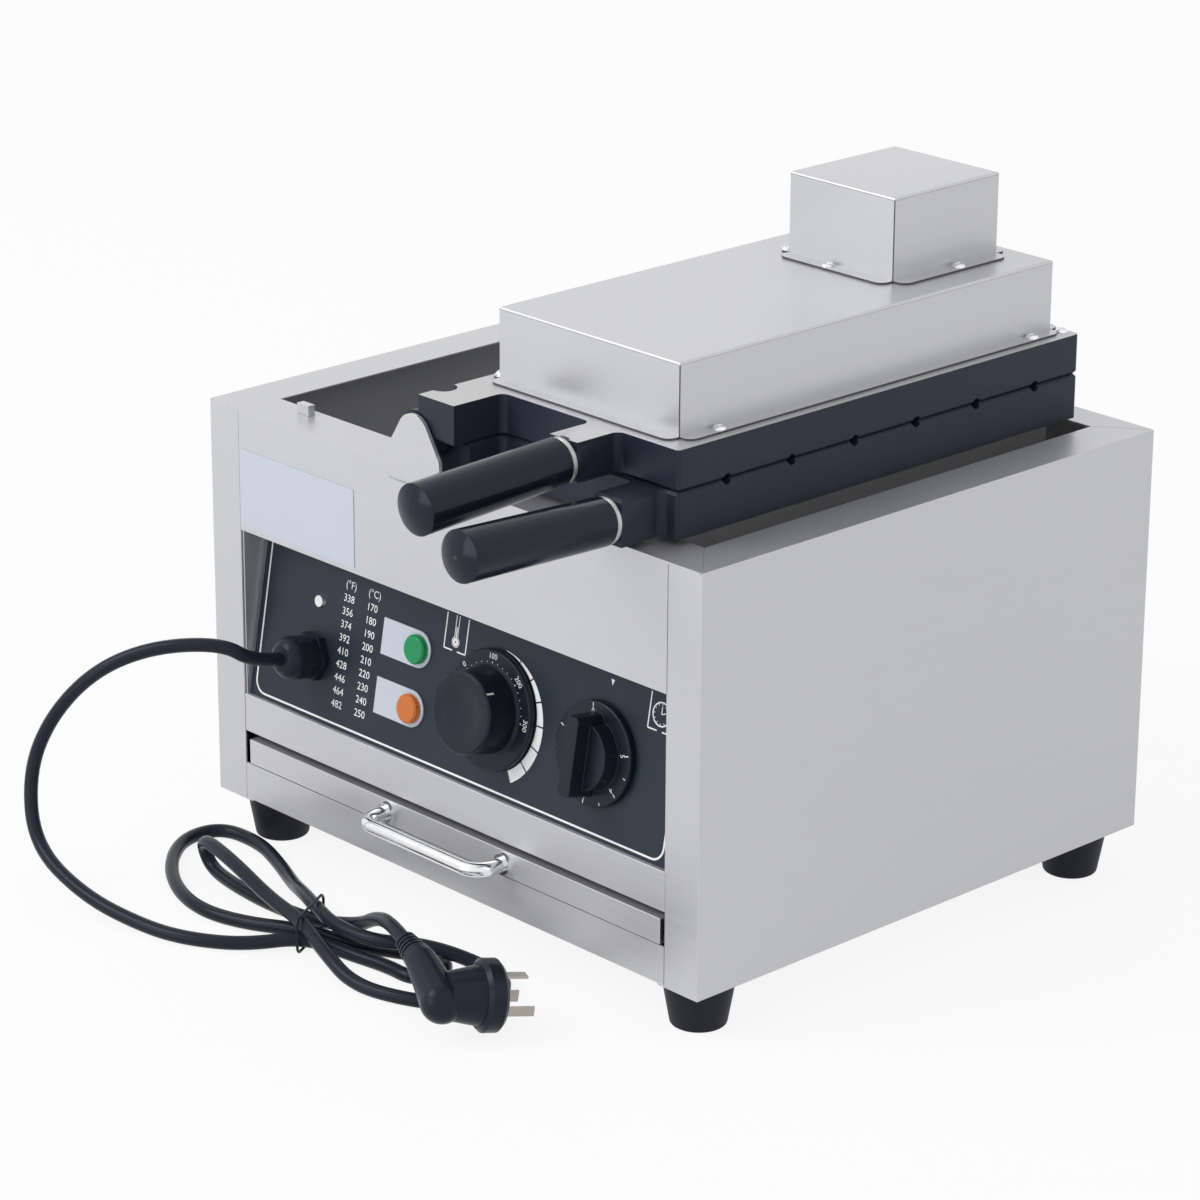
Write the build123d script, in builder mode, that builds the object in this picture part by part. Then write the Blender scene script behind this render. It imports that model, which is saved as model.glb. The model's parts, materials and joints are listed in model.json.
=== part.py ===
"""Waffle stick maker: two hinged mould plates over a stainless cabinet.

X runs along the front to the right, Y to the back and Z up. The origin is on the
floor, in the middle of the object's box. The moulds turn about one axis along Y,
so that the closed pair can be flipped, or the upper one laid open on the left.
"""
from build123d import *
from math import asin, atan2, cos, pi, radians, sin, sqrt, tan
import os

os.makedirs("parts", exist_ok=True)

# Cabinet
cabinet_width = 400.0
cabinet_depth = 352.0
cabinet_height = 239.0
sheet = 1.2
front_flange = 25.0
bottom_flange = 30.0
rim_side = 28.0
rim_front = 28.6
rim_rear = 21.5
seam_gap = 0.3

# Feet
foot_height = 28.0
foot_top_radius = 20.0
foot_bottom_radius = 14.6
foot_inset_x = 25.0
foot_inset_y = 26.0

# Front face, measured up from the cabinet's bottom edge
rail_height = 23.3
drawer_opening = 20.0
sill_height = 23.0
recess_height = 100.0
recess_foot_depth = 3.0
recess_head_depth = 20.5
panel_sheet = 2.0

# Hinge
pivot_above_rim = 29.4
hinge_gap = 0.8
parting_gap = 0.4
knuckle_radius = 14.0
knuckle_clearance = 0.5
side_play = 1.0
pin_radius = 5.0
pin_play = 0.06

# Mould plates
plate_width = 162.2
plate_depth = 310.0
plate_front_setback = 18.0
lower_thickness = 25.4
upper_thickness = 22.9
plate_corner = 2.5
parting_chamfer = 1.6
ear_width = 28.5
front_ear_reach = 35.0
knuckle_width = 10.0
lower_knuckle_width = 14.0
rear_knuckle_width = 8.0
inner_fillet = 5.0
scallop_radius = 7.4

# Handle bosses and handles
boss_width = 21.0
boss_reach = 29.0
upper_boss_x = 108.0
lower_boss_x = 141.3
handle_angle = 2.4
pad_radius = 12.0
pad_height = 1.0
collar_radius = 12.6
collar_length = 3.0
collar_bevel = 0.6
grip_bevel = 1.0
grip_root_radius = 13.2
grip_end_radius = 14.0
grip_length = 97.0
dome_height = 3.0
rod_radius = 4.0
rod_play = 0.1
rod_in_boss = 22.0
rod_in_grip = 60.0

# Stick cavities
cavity_count = 6
cavity_pitch = 47.7
cavity_length = 130.0
cavity_width = 36.0
cavity_depth = 11.0
cavity_corner = 6.0
cavity_draft = 8.0
cavity_from_hinge = 13.0
stick_radius = 2.9
waffle_rows = 2
waffle_columns = 8
waffle_block = 9.0
waffle_pitch_x = 14.6
waffle_pitch_y = 14.2
waffle_height = 4.5
waffle_draft = 18.0

# Heater covers and wiring boxes
cover_from_hinge = 9.7
cover_setback = 14.0
cover_width = 138.7
cover_depth = 287.5
cover_height = 41.0
cover_flange = 8.0
cover_bend = 1.6
box_from_cover = 31.3
box_setback = 188.0
box_width = 79.2
box_depth = 84.0
box_height = 47.5
box_flange = 9.0
cover_screw_radius = 3.8
cover_screw_height = 2.6
screw_taper = 20

# Hinge brackets
bracket_sheet = 2.5
bracket_width = 42.0
bracket_shoulder = 10.0
bracket_crown = 12.5
bracket_bend = 4.0
front_foot_inset = 5.2
rear_foot_inset = 1.5
bolt_radius = 2.5
bolt_play = 0.2
bolt_head_radius = 4.5
bolt_head_height = 3.0
bolt_x = 14.0
bolt_inset = 12.0

# Heating element
element_radius = 4.0
element_rows = 4
element_pitch = 34.0
element_margin = 26.0
riser_inset = 20.0
riser_bend = 9.0

# Knobs and lamps, placed on the tilted panel: X, and distance up the slope
temperature_x = 28.6
temperature_up = 46.9
dial_radius = 33.7
dial_height = 3.6
knob_gap = 1.0
grip_knob_radius = 24.0
grip_knob_face_radius = 23.1
grip_knob_height = 24.8
dish_depth = 1.6
dish_radius = 16.6
spindle_radius = 3.0
spindle_play = 0.06
panel_hole_play = 1.0
timer_x = 111.7
timer_up = 46.1
timer_radius = 29.0
timer_skirt_radius = 20.0
timer_skirt_height = 9.0
timer_bar_width = 11.0
timer_bar_length = 46.0
timer_height = 22.5
lamp_x = -36.7
lamp_up = (29.0, 63.2)
lamp_plate_width = 40.5
lamp_plate_height = 21.0
lamp_plate_sheet = 0.8
lamp_radius = 8.4
lamp_height = 4.0
lamp_from_round_end = 10.5
gland_x = -122.5
gland_up = 36.0
gland_base_radius = 14.5
gland_base_height = 5.0
gland_nut_radius = 12.5
gland_length = 25.0
cord_radius = 4.0
panel_screw_x = -121.9
panel_screw_up = 68.4
panel_screw_radius = 4.0
panel_screw_height = 2.0
panel_screw_shank = 1.9
panel_screw_length = 8.0

# Drawer
drawer_front_width = 342.6
drawer_front_height = 15.0
drawer_play = 0.3
tray_width = 330.0
tray_depth = 318.0
tray_sheet = 1.0
runner_leg = 14.0
pull_centres = 98.0
pull_reach = 24.0
pull_radius = 4.2
pull_foot_radius = 6.6
pull_foot_height = 2.5
pull_foot_taper = 12
pull_bend = 11.0

# Heights and depths that follow from the sizes above
base_z = foot_height
rim_z = base_z + cabinet_height
pivot_z = rim_z + pivot_above_rim
half_width = cabinet_width / 2
dome_sphere = (grip_end_radius**2 + dome_height**2) / (2 * dome_height)
handle_run = pad_height + collar_length + grip_length + dome_height
handle_tip = (handle_run - dome_sphere) * cos(radians(handle_angle)) + dome_sphere
front_reach = boss_reach - plate_front_setback + handle_tip
front_y = -(cabinet_depth - front_reach) / 2
rear_y = front_y + cabinet_depth
plate_front_y = front_y + plate_front_setback
plate_rear_y = plate_front_y + plate_depth
plate_left_x = hinge_gap
plate_right_x = plate_left_x + plate_width
plate_middle_y = (plate_front_y + plate_rear_y) / 2
upper_mating_z = pivot_z + parting_gap / 2
upper_top_z = upper_mating_z + upper_thickness
lower_mating_z = pivot_z - parting_gap / 2
lower_bottom_z = lower_mating_z - lower_thickness
sill_bottom_z = base_z + rail_height + drawer_opening
recess_bottom_z = sill_bottom_z + sill_height
recess_top_z = recess_bottom_z + recess_height
opening_half = half_width - rim_side
bolt_places = {
    "front": [(side * bolt_x, front_y + bolt_inset) for side in (-1, 1)],
    "rear": [(side * bolt_x, rear_y - bolt_inset) for side in (-1, 1)],
}


def keep(part, name):
    """Label a finished piece and write it."""
    part.label = name
    export_step(part, f"parts/{name}.step")


def block(x0, x1, y0, y1, z0, z1):
    """A private box between two corners, to be added or cut."""
    centre = ((x0 + x1) / 2, (y0 + y1) / 2, (z0 + z1) / 2)
    return Pos(*centre) * Box(abs(x1 - x0), abs(y1 - y0), abs(z1 - z0), mode=Mode.PRIVATE)


# Side panels: one folded sheet each, with flanges on the front, back, top and bottom
for side, name in ((-1, "side_panel_left"), (1, "side_panel_right")):
    outer_x = side * half_width
    with BuildPart() as side_panel:
        add(block(outer_x, outer_x - side * sheet, front_y, rear_y, base_z, rim_z))
        for y0 in (front_y, rear_y - sheet):
            add(block(outer_x, outer_x - side * front_flange, y0, y0 + sheet, base_z, rim_z - sheet))
        add(block(outer_x, outer_x - side * bottom_flange, front_y, rear_y, base_z, base_z + sheet))
        with BuildSketch(Plane.XY.offset(rim_z - sheet)) as side_rim:
            with BuildLine():
                Polyline(
                    (outer_x, front_y),
                    (outer_x, rear_y),
                    (side * opening_half, rear_y - rim_rear),
                    (side * opening_half, front_y + rim_front),
                    close=True,
                )
            make_face()
        extrude(amount=sheet)
    keep(side_panel.part, name)


def rim_points(outside_y, inside_y):
    """Corners of a front or rear rim between its two mitres."""
    inset = seam_gap / 2
    return (
        (-half_width + inset, outside_y),
        (half_width - inset, outside_y),
        (opening_half - inset, inside_y),
        (-opening_half + inset, inside_y),
    )


# Front panel: the upper front face, with its rim and the ceiling of the control recess
face_half = half_width - front_flange - seam_gap
mitre_cut = sheet * rim_side / rim_front + seam_gap
with BuildPart() as front_panel:
    with BuildSketch(Plane.XY.offset(rim_z - sheet)):
        with BuildLine():
            Polyline(*rim_points(front_y, front_y + rim_front), close=True)
        make_face()
    extrude(amount=sheet)
    for side in (-1, 1):
        corner_x = side * half_width
        add(
            block(corner_x, corner_x - side * mitre_cut, front_y, front_y + sheet, rim_z - sheet, rim_z),
            mode=Mode.SUBTRACT,
        )
    add(block(-face_half, face_half, front_y, front_y + sheet, recess_top_z, rim_z - sheet / 2))
    add(
        block(
            -face_half,
            face_half,
            front_y,
            front_y + recess_head_depth,
            recess_top_z,
            recess_top_z + sheet,
        )
    )
    with BuildSketch(Plane.XY.offset(rim_z)):
        with Locations(*bolt_places["front"]):
            Circle(bolt_radius + bolt_play)
    extrude(amount=-sheet, mode=Mode.SUBTRACT)
keep(front_panel.part, "front_panel")

# Rear panel, with its rim and rows of vent slots
vent_columns = 8
vent_rows = 3
vent_length = 26.0
vent_width = 4.0
vent_pitch_x = 36.0
vent_pitch_z = 12.0
vent_height = 60.0
rear_mitre_cut = sheet * rim_side / rim_rear + seam_gap
with BuildPart() as rear_panel:
    with BuildSketch(Plane.XY.offset(rim_z - sheet)):
        with BuildLine():
            Polyline(*rim_points(rear_y, rear_y - rim_rear), close=True)
        make_face()
    extrude(amount=sheet)
    for side in (-1, 1):
        corner_x = side * half_width
        add(
            block(corner_x, corner_x - side * rear_mitre_cut, rear_y - sheet, rear_y, rim_z - sheet, rim_z),
            mode=Mode.SUBTRACT,
        )
    add(block(-face_half, face_half, rear_y - sheet, rear_y, base_z + sheet, rim_z - sheet / 2))
    vent_plane = Plane(origin=(0, rear_y, base_z + vent_height), x_dir=(-1, 0, 0), z_dir=(0, 1, 0))
    with BuildSketch(vent_plane):
        with GridLocations(vent_pitch_x, vent_pitch_z, vent_columns, vent_rows):
            SlotOverall(vent_length, vent_width)
    extrude(amount=-sheet, mode=Mode.SUBTRACT)
    with BuildSketch(Plane.XY.offset(rim_z)):
        with Locations(*bolt_places["rear"]):
            Circle(bolt_radius + bolt_play)
    extrude(amount=-sheet, mode=Mode.SUBTRACT)
keep(rear_panel.part, "rear_panel")

# Base pan: the floor of the cabinet, turned up at the front as the rail under the drawer
pan_z = base_z + sheet
with BuildPart() as base_pan:
    add(
        block(
            -half_width + sheet + seam_gap,
            half_width - sheet - seam_gap,
            front_y + sheet,
            rear_y - sheet - seam_gap,
            pan_z,
            pan_z + sheet,
        )
    )
    add(block(-face_half, face_half, front_y, front_y + sheet, pan_z, base_z + rail_height))
keep(base_pan.part, "base_pan")

# Sill between the drawer and the control recess, with a return at each edge
sill_return = 12.0
with BuildPart() as front_sill:
    add(block(-face_half, face_half, front_y, front_y + sheet, sill_bottom_z, recess_bottom_z))
    add(
        block(-face_half, face_half, front_y, front_y + sill_return, sill_bottom_z, sill_bottom_z + sheet)
    )
    add(
        block(
            -face_half,
            face_half,
            front_y,
            front_y + recess_foot_depth,
            recess_bottom_z - sheet,
            recess_bottom_z,
        )
    )
keep(front_sill.part, "front_sill")

# Control panel: a black plate that leans back behind the recess
slope = atan2(recess_head_depth - recess_foot_depth, recess_height)
panel_length = recess_height / cos(slope)
panel_plane = Plane(
    origin=(0, front_y + recess_foot_depth, recess_bottom_z),
    x_dir=(1, 0, 0),
    z_dir=(0, -cos(slope), sin(slope)),
)


def on_panel(x, up, out=0.0):
    """A plane on the control panel: its normal points out of the recess."""
    return Plane(
        origin=panel_plane.from_local_coords((x, up, out)),
        x_dir=panel_plane.x_dir,
        z_dir=panel_plane.z_dir,
    )


panel_width = 2 * face_half - 2 * sheet
knob_places = ((temperature_x, temperature_up), (timer_x, timer_up))
spindle_hole = spindle_radius + panel_hole_play
gland_thread_radius = 9.0
thread_play = 0.2
lamp_stem_radius = 5.0
with BuildPart() as control_panel:
    with BuildSketch(panel_plane):
        with Locations((0, panel_length / 2)):
            Rectangle(panel_width, panel_length)
        with Locations(*knob_places):
            Circle(spindle_hole, mode=Mode.SUBTRACT)
        with Locations((gland_x, gland_up)):
            Circle(gland_thread_radius + thread_play, mode=Mode.SUBTRACT)
        with Locations(*[(lamp_x, up) for up in lamp_up]):
            Circle(lamp_stem_radius + thread_play, mode=Mode.SUBTRACT)
        with Locations((panel_screw_x, panel_screw_up)):
            Circle(panel_screw_shank + thread_play, mode=Mode.SUBTRACT)
    extrude(amount=-panel_sheet)
keep(control_panel.part, "control_panel")

# Panel screw, above the gland
with BuildPart() as panel_screw:
    with BuildSketch(on_panel(panel_screw_x, panel_screw_up)):
        Circle(panel_screw_radius)
    extrude(amount=panel_screw_height, taper=screw_taper)
    with BuildSketch(on_panel(panel_screw_x, panel_screw_up)):
        Circle(panel_screw_shank)
    extrude(amount=-panel_screw_length)
keep(panel_screw.part, "panel_screw")

# Cheeks: the two side walls of the control recess
with BuildPart() as recess_cheeks:
    for side in (-1, 1):
        cheek_x = side * face_half - (sheet if side > 0 else 0)
        with BuildSketch(Plane.YZ.offset(cheek_x)):
            with BuildLine():
                Polyline(
                    (front_y + sheet, recess_bottom_z),
                    (front_y + recess_foot_depth, recess_bottom_z),
                    (front_y + recess_head_depth, recess_top_z),
                    (front_y + sheet, recess_top_z),
                    close=True,
                )
            make_face()
        extrude(amount=sheet)
keep(recess_cheeks.part, "recess_cheeks")

# Shield that keeps the moulds' heat and crumbs off the controls
shield_depth = 72.0
shield_top = 158.0
shield_bottom_z = sill_bottom_z + sheet
with BuildPart() as control_shield:
    shield_y = front_y + shield_depth
    shield_half = half_width - sheet - seam_gap
    add(
        block(
            -shield_half,
            shield_half,
            shield_y,
            shield_y + sheet,
            shield_bottom_z,
            base_z + shield_top + sheet,
        )
    )
    add(
        block(
            -shield_half,
            shield_half,
            front_y + recess_head_depth + panel_sheet * 2,
            shield_y + sheet,
            base_z + shield_top,
            base_z + shield_top + sheet,
        )
    )
keep(control_shield.part, "control_shield")

# Rating plate: a thin bare plate on the front, flush with the left seam
plate_label_width = 99.5
plate_label_height = 46.0
plate_label_drop = 23.6
plate_label_sheet = 0.4
plate_label_corner = 1.5
plate_label_inset = 1.0
label_x = -face_half + plate_label_width / 2 + plate_label_inset
label_z = rim_z - plate_label_drop - plate_label_height / 2
with BuildPart() as rating_plate:
    with BuildSketch(Plane(origin=(label_x, front_y, label_z), x_dir=(1, 0, 0), z_dir=(0, -1, 0))):
        RectangleRounded(plate_label_width, plate_label_height, plate_label_corner)
    extrude(amount=plate_label_sheet)
keep(rating_plate.part, "rating_plate")

# Feet: tapered rubber, with a recess for the screw
foot_bore = 3.2
foot_sink = 8.0
screw_head_radius = 5.6
screw_head_height = 3.0
screw_head_play = 1.0
foot_screw_play = 0.2
foot_band = 2.0
foot_bevel = 1.0
foot_rows = ((front_y + foot_inset_y, "front"), (rear_y - foot_inset_y, "rear"))
for foot_y, row in foot_rows:
    for side, column in ((-1, "left"), (1, "right")):
        foot_x = side * (half_width - foot_inset_x)
        with BuildPart() as foot:
            with BuildSketch(Plane.XZ.offset(-foot_y)):
                with BuildLine():
                    Polyline(
                        (foot_x + foot_bore, foot_height),
                        (foot_x + foot_top_radius, foot_height),
                        (foot_x + foot_top_radius, foot_height - foot_band),
                        (foot_x + foot_bottom_radius + foot_bevel, foot_bevel),
                        (foot_x + foot_bottom_radius, 0),
                        (foot_x + screw_head_radius + screw_head_play, 0),
                        (foot_x + screw_head_radius + screw_head_play, foot_sink),
                        (foot_x + foot_bore, foot_sink),
                        close=True,
                    )
                make_face()
            revolve(axis=Axis((foot_x, foot_y, 0), (0, 0, 1)))
        keep(foot.part, f"foot_{row}_{column}")

with BuildPart() as foot_screws:
    for foot_y, _ in foot_rows:
        for side in (-1, 1):
            place = (side * (half_width - foot_inset_x), foot_y)
            with BuildSketch(Plane(origin=(*place, foot_sink - screw_head_height))):
                Circle(screw_head_radius)
            extrude(amount=screw_head_height)
            with BuildSketch(Plane(origin=(*place, foot_sink))):
                Circle(foot_bore - foot_screw_play)
            extrude(amount=foot_height - foot_sink)
keep(foot_screws.part, "foot_screws")


# Places along the hinge axis: each knuckle of one plate runs beside one of the other
front_pin_y = plate_front_y - front_ear_reach
front_upper = (front_pin_y, front_pin_y + knuckle_width)
front_lower = (front_upper[1] + side_play, front_upper[1] + side_play + lower_knuckle_width)
rear_lower = (plate_rear_y + side_play, plate_rear_y + side_play + rear_knuckle_width)
rear_upper = (rear_lower[1] + side_play, rear_lower[1] + side_play + rear_knuckle_width)
pocket_front = (front_upper[1], front_lower[1] + knuckle_clearance)
pocket_rear = (rear_lower[0] - knuckle_clearance, rear_upper[0])


def outline_points(front_ear_y, rear_ear_y, boss_x):
    """Corners of a mould plate with its two ears on the left and its handle boss in front."""
    boss_left = boss_x - boss_width / 2
    boss_right = boss_x + boss_width / 2
    ear_right = plate_left_x + ear_width
    boss_y = plate_front_y - boss_reach
    return (
        (plate_left_x, front_ear_y),
        (ear_right, front_ear_y),
        (ear_right, plate_front_y),
        (boss_left, plate_front_y),
        (boss_left, boss_y),
        (boss_right, boss_y),
        (boss_right, plate_front_y),
        (plate_right_x, plate_front_y),
        (plate_right_x, plate_rear_y),
        (ear_right, plate_rear_y),
        (ear_right, rear_ear_y),
        (plate_left_x, rear_ear_y),
    )


def barrel(span, radius, margin=0.0):
    """A private cylinder on the hinge axis between two places in Y."""
    length = span[1] - span[0] + 2 * margin
    middle = (span[0] + span[1]) / 2
    return Pos(0, middle, pivot_z) * Rot(90, 0, 0) * Cylinder(radius, length, mode=Mode.PRIVATE)


def handle_seat(boss_x, middle_z, tilt):
    """The plane of a handle's seat: its normal runs along the handle, away from the plate."""
    angle = radians(handle_angle)
    return Plane(
        origin=(boss_x, plate_front_y - boss_reach, middle_z),
        x_dir=(1, 0, 0),
        z_dir=(0, -cos(angle), tilt * sin(angle)),
    )


cavity_x = plate_left_x + cavity_from_hinge + cavity_length / 2
cavity_places = [
    (cavity_x, plate_middle_y + (i - (cavity_count - 1) / 2) * cavity_pitch) for i in range(cavity_count)
]
stick_overrun = 2.0
stick_run = plate_right_x - cavity_x - cavity_length / 2 + stick_overrun
pad_root = 2.0
bore_overrun = 1.0

# The two moulds mirror each other about the joint, apart from their ears, bosses and thickness.
# into is +1 for the upper mould, whose back faces up, and -1 for the lower one.
moulds = {
    "upper": {
        "into": 1,
        "mating_z": upper_mating_z,
        "thickness": upper_thickness,
        "back_z": upper_top_z,
        "boss_x": upper_boss_x,
        "knuckles": (front_upper, rear_upper),
        "pockets": (pocket_front, pocket_rear),
    },
    "lower": {
        "into": -1,
        "mating_z": lower_mating_z,
        "thickness": lower_thickness,
        "back_z": lower_bottom_z,
        "boss_x": lower_boss_x,
        "knuckles": (front_lower, rear_lower),
        "pockets": (),
    },
}

# Mould plates: castings with stick cavities, knuckles, a handle boss and half-round stick grooves
for which, mould in moulds.items():
    into = mould["into"]
    mating_z = mould["mating_z"]
    knuckles = mould["knuckles"]
    middle_z = (mating_z + mould["back_z"]) / 2
    mould["seat"] = handle_seat(mould["boss_x"], middle_z, -into)
    with BuildPart() as plate:
        with BuildSketch(Plane.XY.offset(mating_z)) as plate_outline:
            with BuildLine():
                Polyline(*outline_points(knuckles[0][0], knuckles[1][1], mould["boss_x"]), close=True)
            make_face()
            inner_corners = [
                corner
                for corner in plate_outline.vertices()
                if min(abs(corner.Y - plate_front_y), abs(corner.Y - plate_rear_y)) < 0.01
                and corner.X < plate_right_x - 0.01
            ]
            fillet(inner_corners, inner_fillet)
            fillet(plate_outline.vertices().group_by(Axis.X)[-1], plate_corner)
        extrude(amount=into * mould["thickness"])
        chamfer(plate.edges().group_by(Axis.Z)[0 if into > 0 else -1], parting_chamfer)
        for pocket in mould["pockets"]:
            add(barrel(pocket, knuckle_radius + knuckle_clearance), mode=Mode.SUBTRACT)
        for knuckle in knuckles:
            add(barrel(knuckle, knuckle_radius))
        if into > 0:
            with BuildSketch(Plane.XY.offset(mould["back_z"])):
                with Locations((plate_left_x, (front_lower[0] + front_lower[1]) / 2)):
                    Circle(scallop_radius)
            extrude(amount=-mould["thickness"], mode=Mode.SUBTRACT)
        with BuildSketch(Plane.XY.offset(mating_z)):
            with Locations(*cavity_places):
                RectangleRounded(cavity_length, cavity_width, cavity_corner)
        extrude(amount=into * cavity_depth, taper=cavity_draft, mode=Mode.SUBTRACT)
        with BuildSketch(Plane.XY.offset(mating_z + into * cavity_depth)):
            for place in cavity_places:
                with Locations(place):
                    with GridLocations(waffle_pitch_x, waffle_pitch_y, waffle_columns, waffle_rows):
                        Rectangle(waffle_block, waffle_block)
        extrude(amount=-into * waffle_height, taper=waffle_draft)
        for place in cavity_places:
            with BuildSketch(Plane(origin=(plate_right_x, place[1], mating_z), z_dir=(1, 0, 0))):
                Circle(stick_radius)
            extrude(amount=-stick_run, mode=Mode.SUBTRACT)
        with BuildSketch(mould["seat"].offset(-pad_root)):
            Circle(pad_radius)
        extrude(amount=pad_root + pad_height)
        with BuildSketch(mould["seat"].offset(pad_height)):
            Circle(rod_radius + rod_play)
        extrude(amount=-rod_in_boss, mode=Mode.SUBTRACT)
        for knuckle in knuckles:
            add(barrel(knuckle, pin_radius + pin_play, bore_overrun), mode=Mode.SUBTRACT)
    keep(plate.part, f"{which}_plate")

# Heater covers: folded boxes on the plates' backs, open towards the plate, with a flange all round
cover_left_x = plate_left_x + cover_from_hinge
cover_front_y = plate_front_y + cover_setback
cover_centre = (cover_left_x + cover_width / 2, cover_front_y + cover_depth / 2)
box_centre = (
    cover_left_x + box_from_cover + box_width / 2,
    cover_front_y + box_setback + box_depth / 2,
)
element_x = [cover_centre[0] + (i - (element_rows - 1) / 2) * element_pitch for i in range(element_rows)]
riser_x = (element_x[0] + riser_inset, element_x[-1] - riser_inset)
riser_clearance = 1.0
cover_screw_edge = cover_flange / 2
cover_screw_front = 25.0
cover_screw_rear = 20.0
hinge_screw_front = 6.0
cover_screw_places = (
    (cover_left_x + cover_width + cover_screw_edge, cover_front_y + cover_screw_front),
    (cover_left_x + cover_width + cover_screw_edge, cover_front_y + cover_depth - cover_screw_rear),
    (cover_left_x - cover_screw_edge, cover_front_y + hinge_screw_front),
    (cover_left_x - cover_screw_edge, cover_front_y + cover_depth - cover_screw_rear),
)
box_screw_edge = box_flange / 2
box_screw_left = 5.0
box_screw_front = 4.0
box_screw_back = 6.0
box_screw_places = (
    (box_centre[0] - box_width / 2 - box_screw_edge, box_centre[1] - box_depth / 2 + box_screw_front),
    (box_centre[0] - box_screw_left, box_centre[1] - box_depth / 2 - box_screw_edge),
    (box_centre[0] + box_width / 2 + box_screw_edge, box_centre[1] + box_screw_back),
    (box_centre[0] - box_screw_left, box_centre[1] + box_depth / 2 + box_screw_edge),
)
flange_corner = 6.0


def far_edges(builder, into):
    """Edges of the face that lies furthest from the joint."""
    return builder.faces().sort_by(Axis.Z)[-1 if into > 0 else 0].edges()


def near_face(builder, into):
    """The face that lies nearest to the joint."""
    return builder.faces().sort_by(Axis.Z)[0 if into > 0 else -1]


def cap_sizes(which_cap):
    """Centre, width, depth, height, flange width and start height of a cover or a wiring box."""
    if which_cap == "cover":
        return cover_centre, cover_width, cover_depth, cover_height, cover_flange, 0.0
    return box_centre, box_width, box_depth, box_height, box_flange, cover_height


for which, mould in moulds.items():
    into = mould["into"]
    for which_cap in ("cover", "wiring_box"):
        centre, width, depth, height, flange, lift = cap_sizes(which_cap)
        start_z = mould["back_z"] + into * lift
        with BuildPart() as cap:
            with BuildSketch(Plane.XY.offset(start_z)):
                with Locations(centre):
                    Rectangle(width, depth)
            extrude(amount=into * height)
            fillet(far_edges(cap, into), cover_bend)
            offset(amount=-sheet, openings=near_face(cap, into))
            with BuildSketch(Plane.XY.offset(start_z)) as cap_flange:
                for side in (-1, 1):
                    with Locations((centre[0], centre[1] + side * (depth + flange - sheet) / 2)):
                        Rectangle(width, flange + sheet)
                    with Locations((centre[0] + side * (width + flange - sheet) / 2, centre[1])):
                        Rectangle(flange + sheet, depth)
                tips = [
                    corner
                    for corner in cap_flange.vertices()
                    if abs(corner.X - centre[0]) > width / 2 + flange - 0.01
                    or abs(corner.Y - centre[1]) > depth / 2 + flange - 0.01
                ]
                fillet(tips, flange_corner)
            extrude(amount=into * sheet)
            if which_cap == "cover":
                with BuildSketch(Plane.XY.offset(start_z + into * height)):
                    with Locations(*[(x, box_centre[1]) for x in riser_x]):
                        Circle(element_radius + riser_clearance)
                extrude(amount=-into * sheet * 2, mode=Mode.SUBTRACT)
        keep(cap.part, f"{which}_{which_cap}")
    with BuildPart() as cap_screws:
        for lift, screw_places in ((0.0, cover_screw_places), (cover_height, box_screw_places)):
            with BuildSketch(Plane.XY.offset(mould["back_z"] + into * (lift + sheet))):
                with Locations(*screw_places):
                    Circle(cover_screw_radius)
            extrude(amount=into * cover_screw_height, taper=screw_taper)
    keep(cap_screws.part, f"{which}_cover_screws")

# Heating elements: one serpentine tube on each plate's back, whose ends rise into the wiring box
element_bend = element_pitch / 2 - 0.1
riser_in_box = box_height / 3
element_front_y = cover_front_y + element_margin
element_rear_y = cover_front_y + cover_depth - element_margin
for which, mould in moulds.items():
    into = mould["into"]
    element_z = mould["back_z"] + into * element_radius
    riser_top_z = mould["back_z"] + into * (cover_height + riser_in_box)
    route = [
        (riser_x[0], box_centre[1], riser_top_z),
        (riser_x[0], box_centre[1], element_z),
        (element_x[0], box_centre[1], element_z),
    ]
    for i, row_x in enumerate(element_x):
        ends = (element_rear_y, element_front_y) if i % 2 == 0 else (element_front_y, element_rear_y)
        if i > 0:
            route.append((row_x, ends[0], element_z))
        if i < element_rows - 1:
            route.append((row_x, ends[1], element_z))
    route.append((element_x[-1], box_centre[1], element_z))
    route.append((riser_x[-1], box_centre[1], element_z))
    route.append((riser_x[-1], box_centre[1], riser_top_z))
    radii = [riser_bend] * 2 + [element_bend] * (len(route) - 6) + [riser_bend] * 2
    with BuildPart() as element:
        with BuildLine() as element_path:
            FilletPolyline(*route, radius=radii)
        with BuildSketch(Plane(origin=route[0], z_dir=(0, 0, -into))):
            Circle(element_radius)
        sweep()
    keep(element.part, f"{which}_element")

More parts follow.
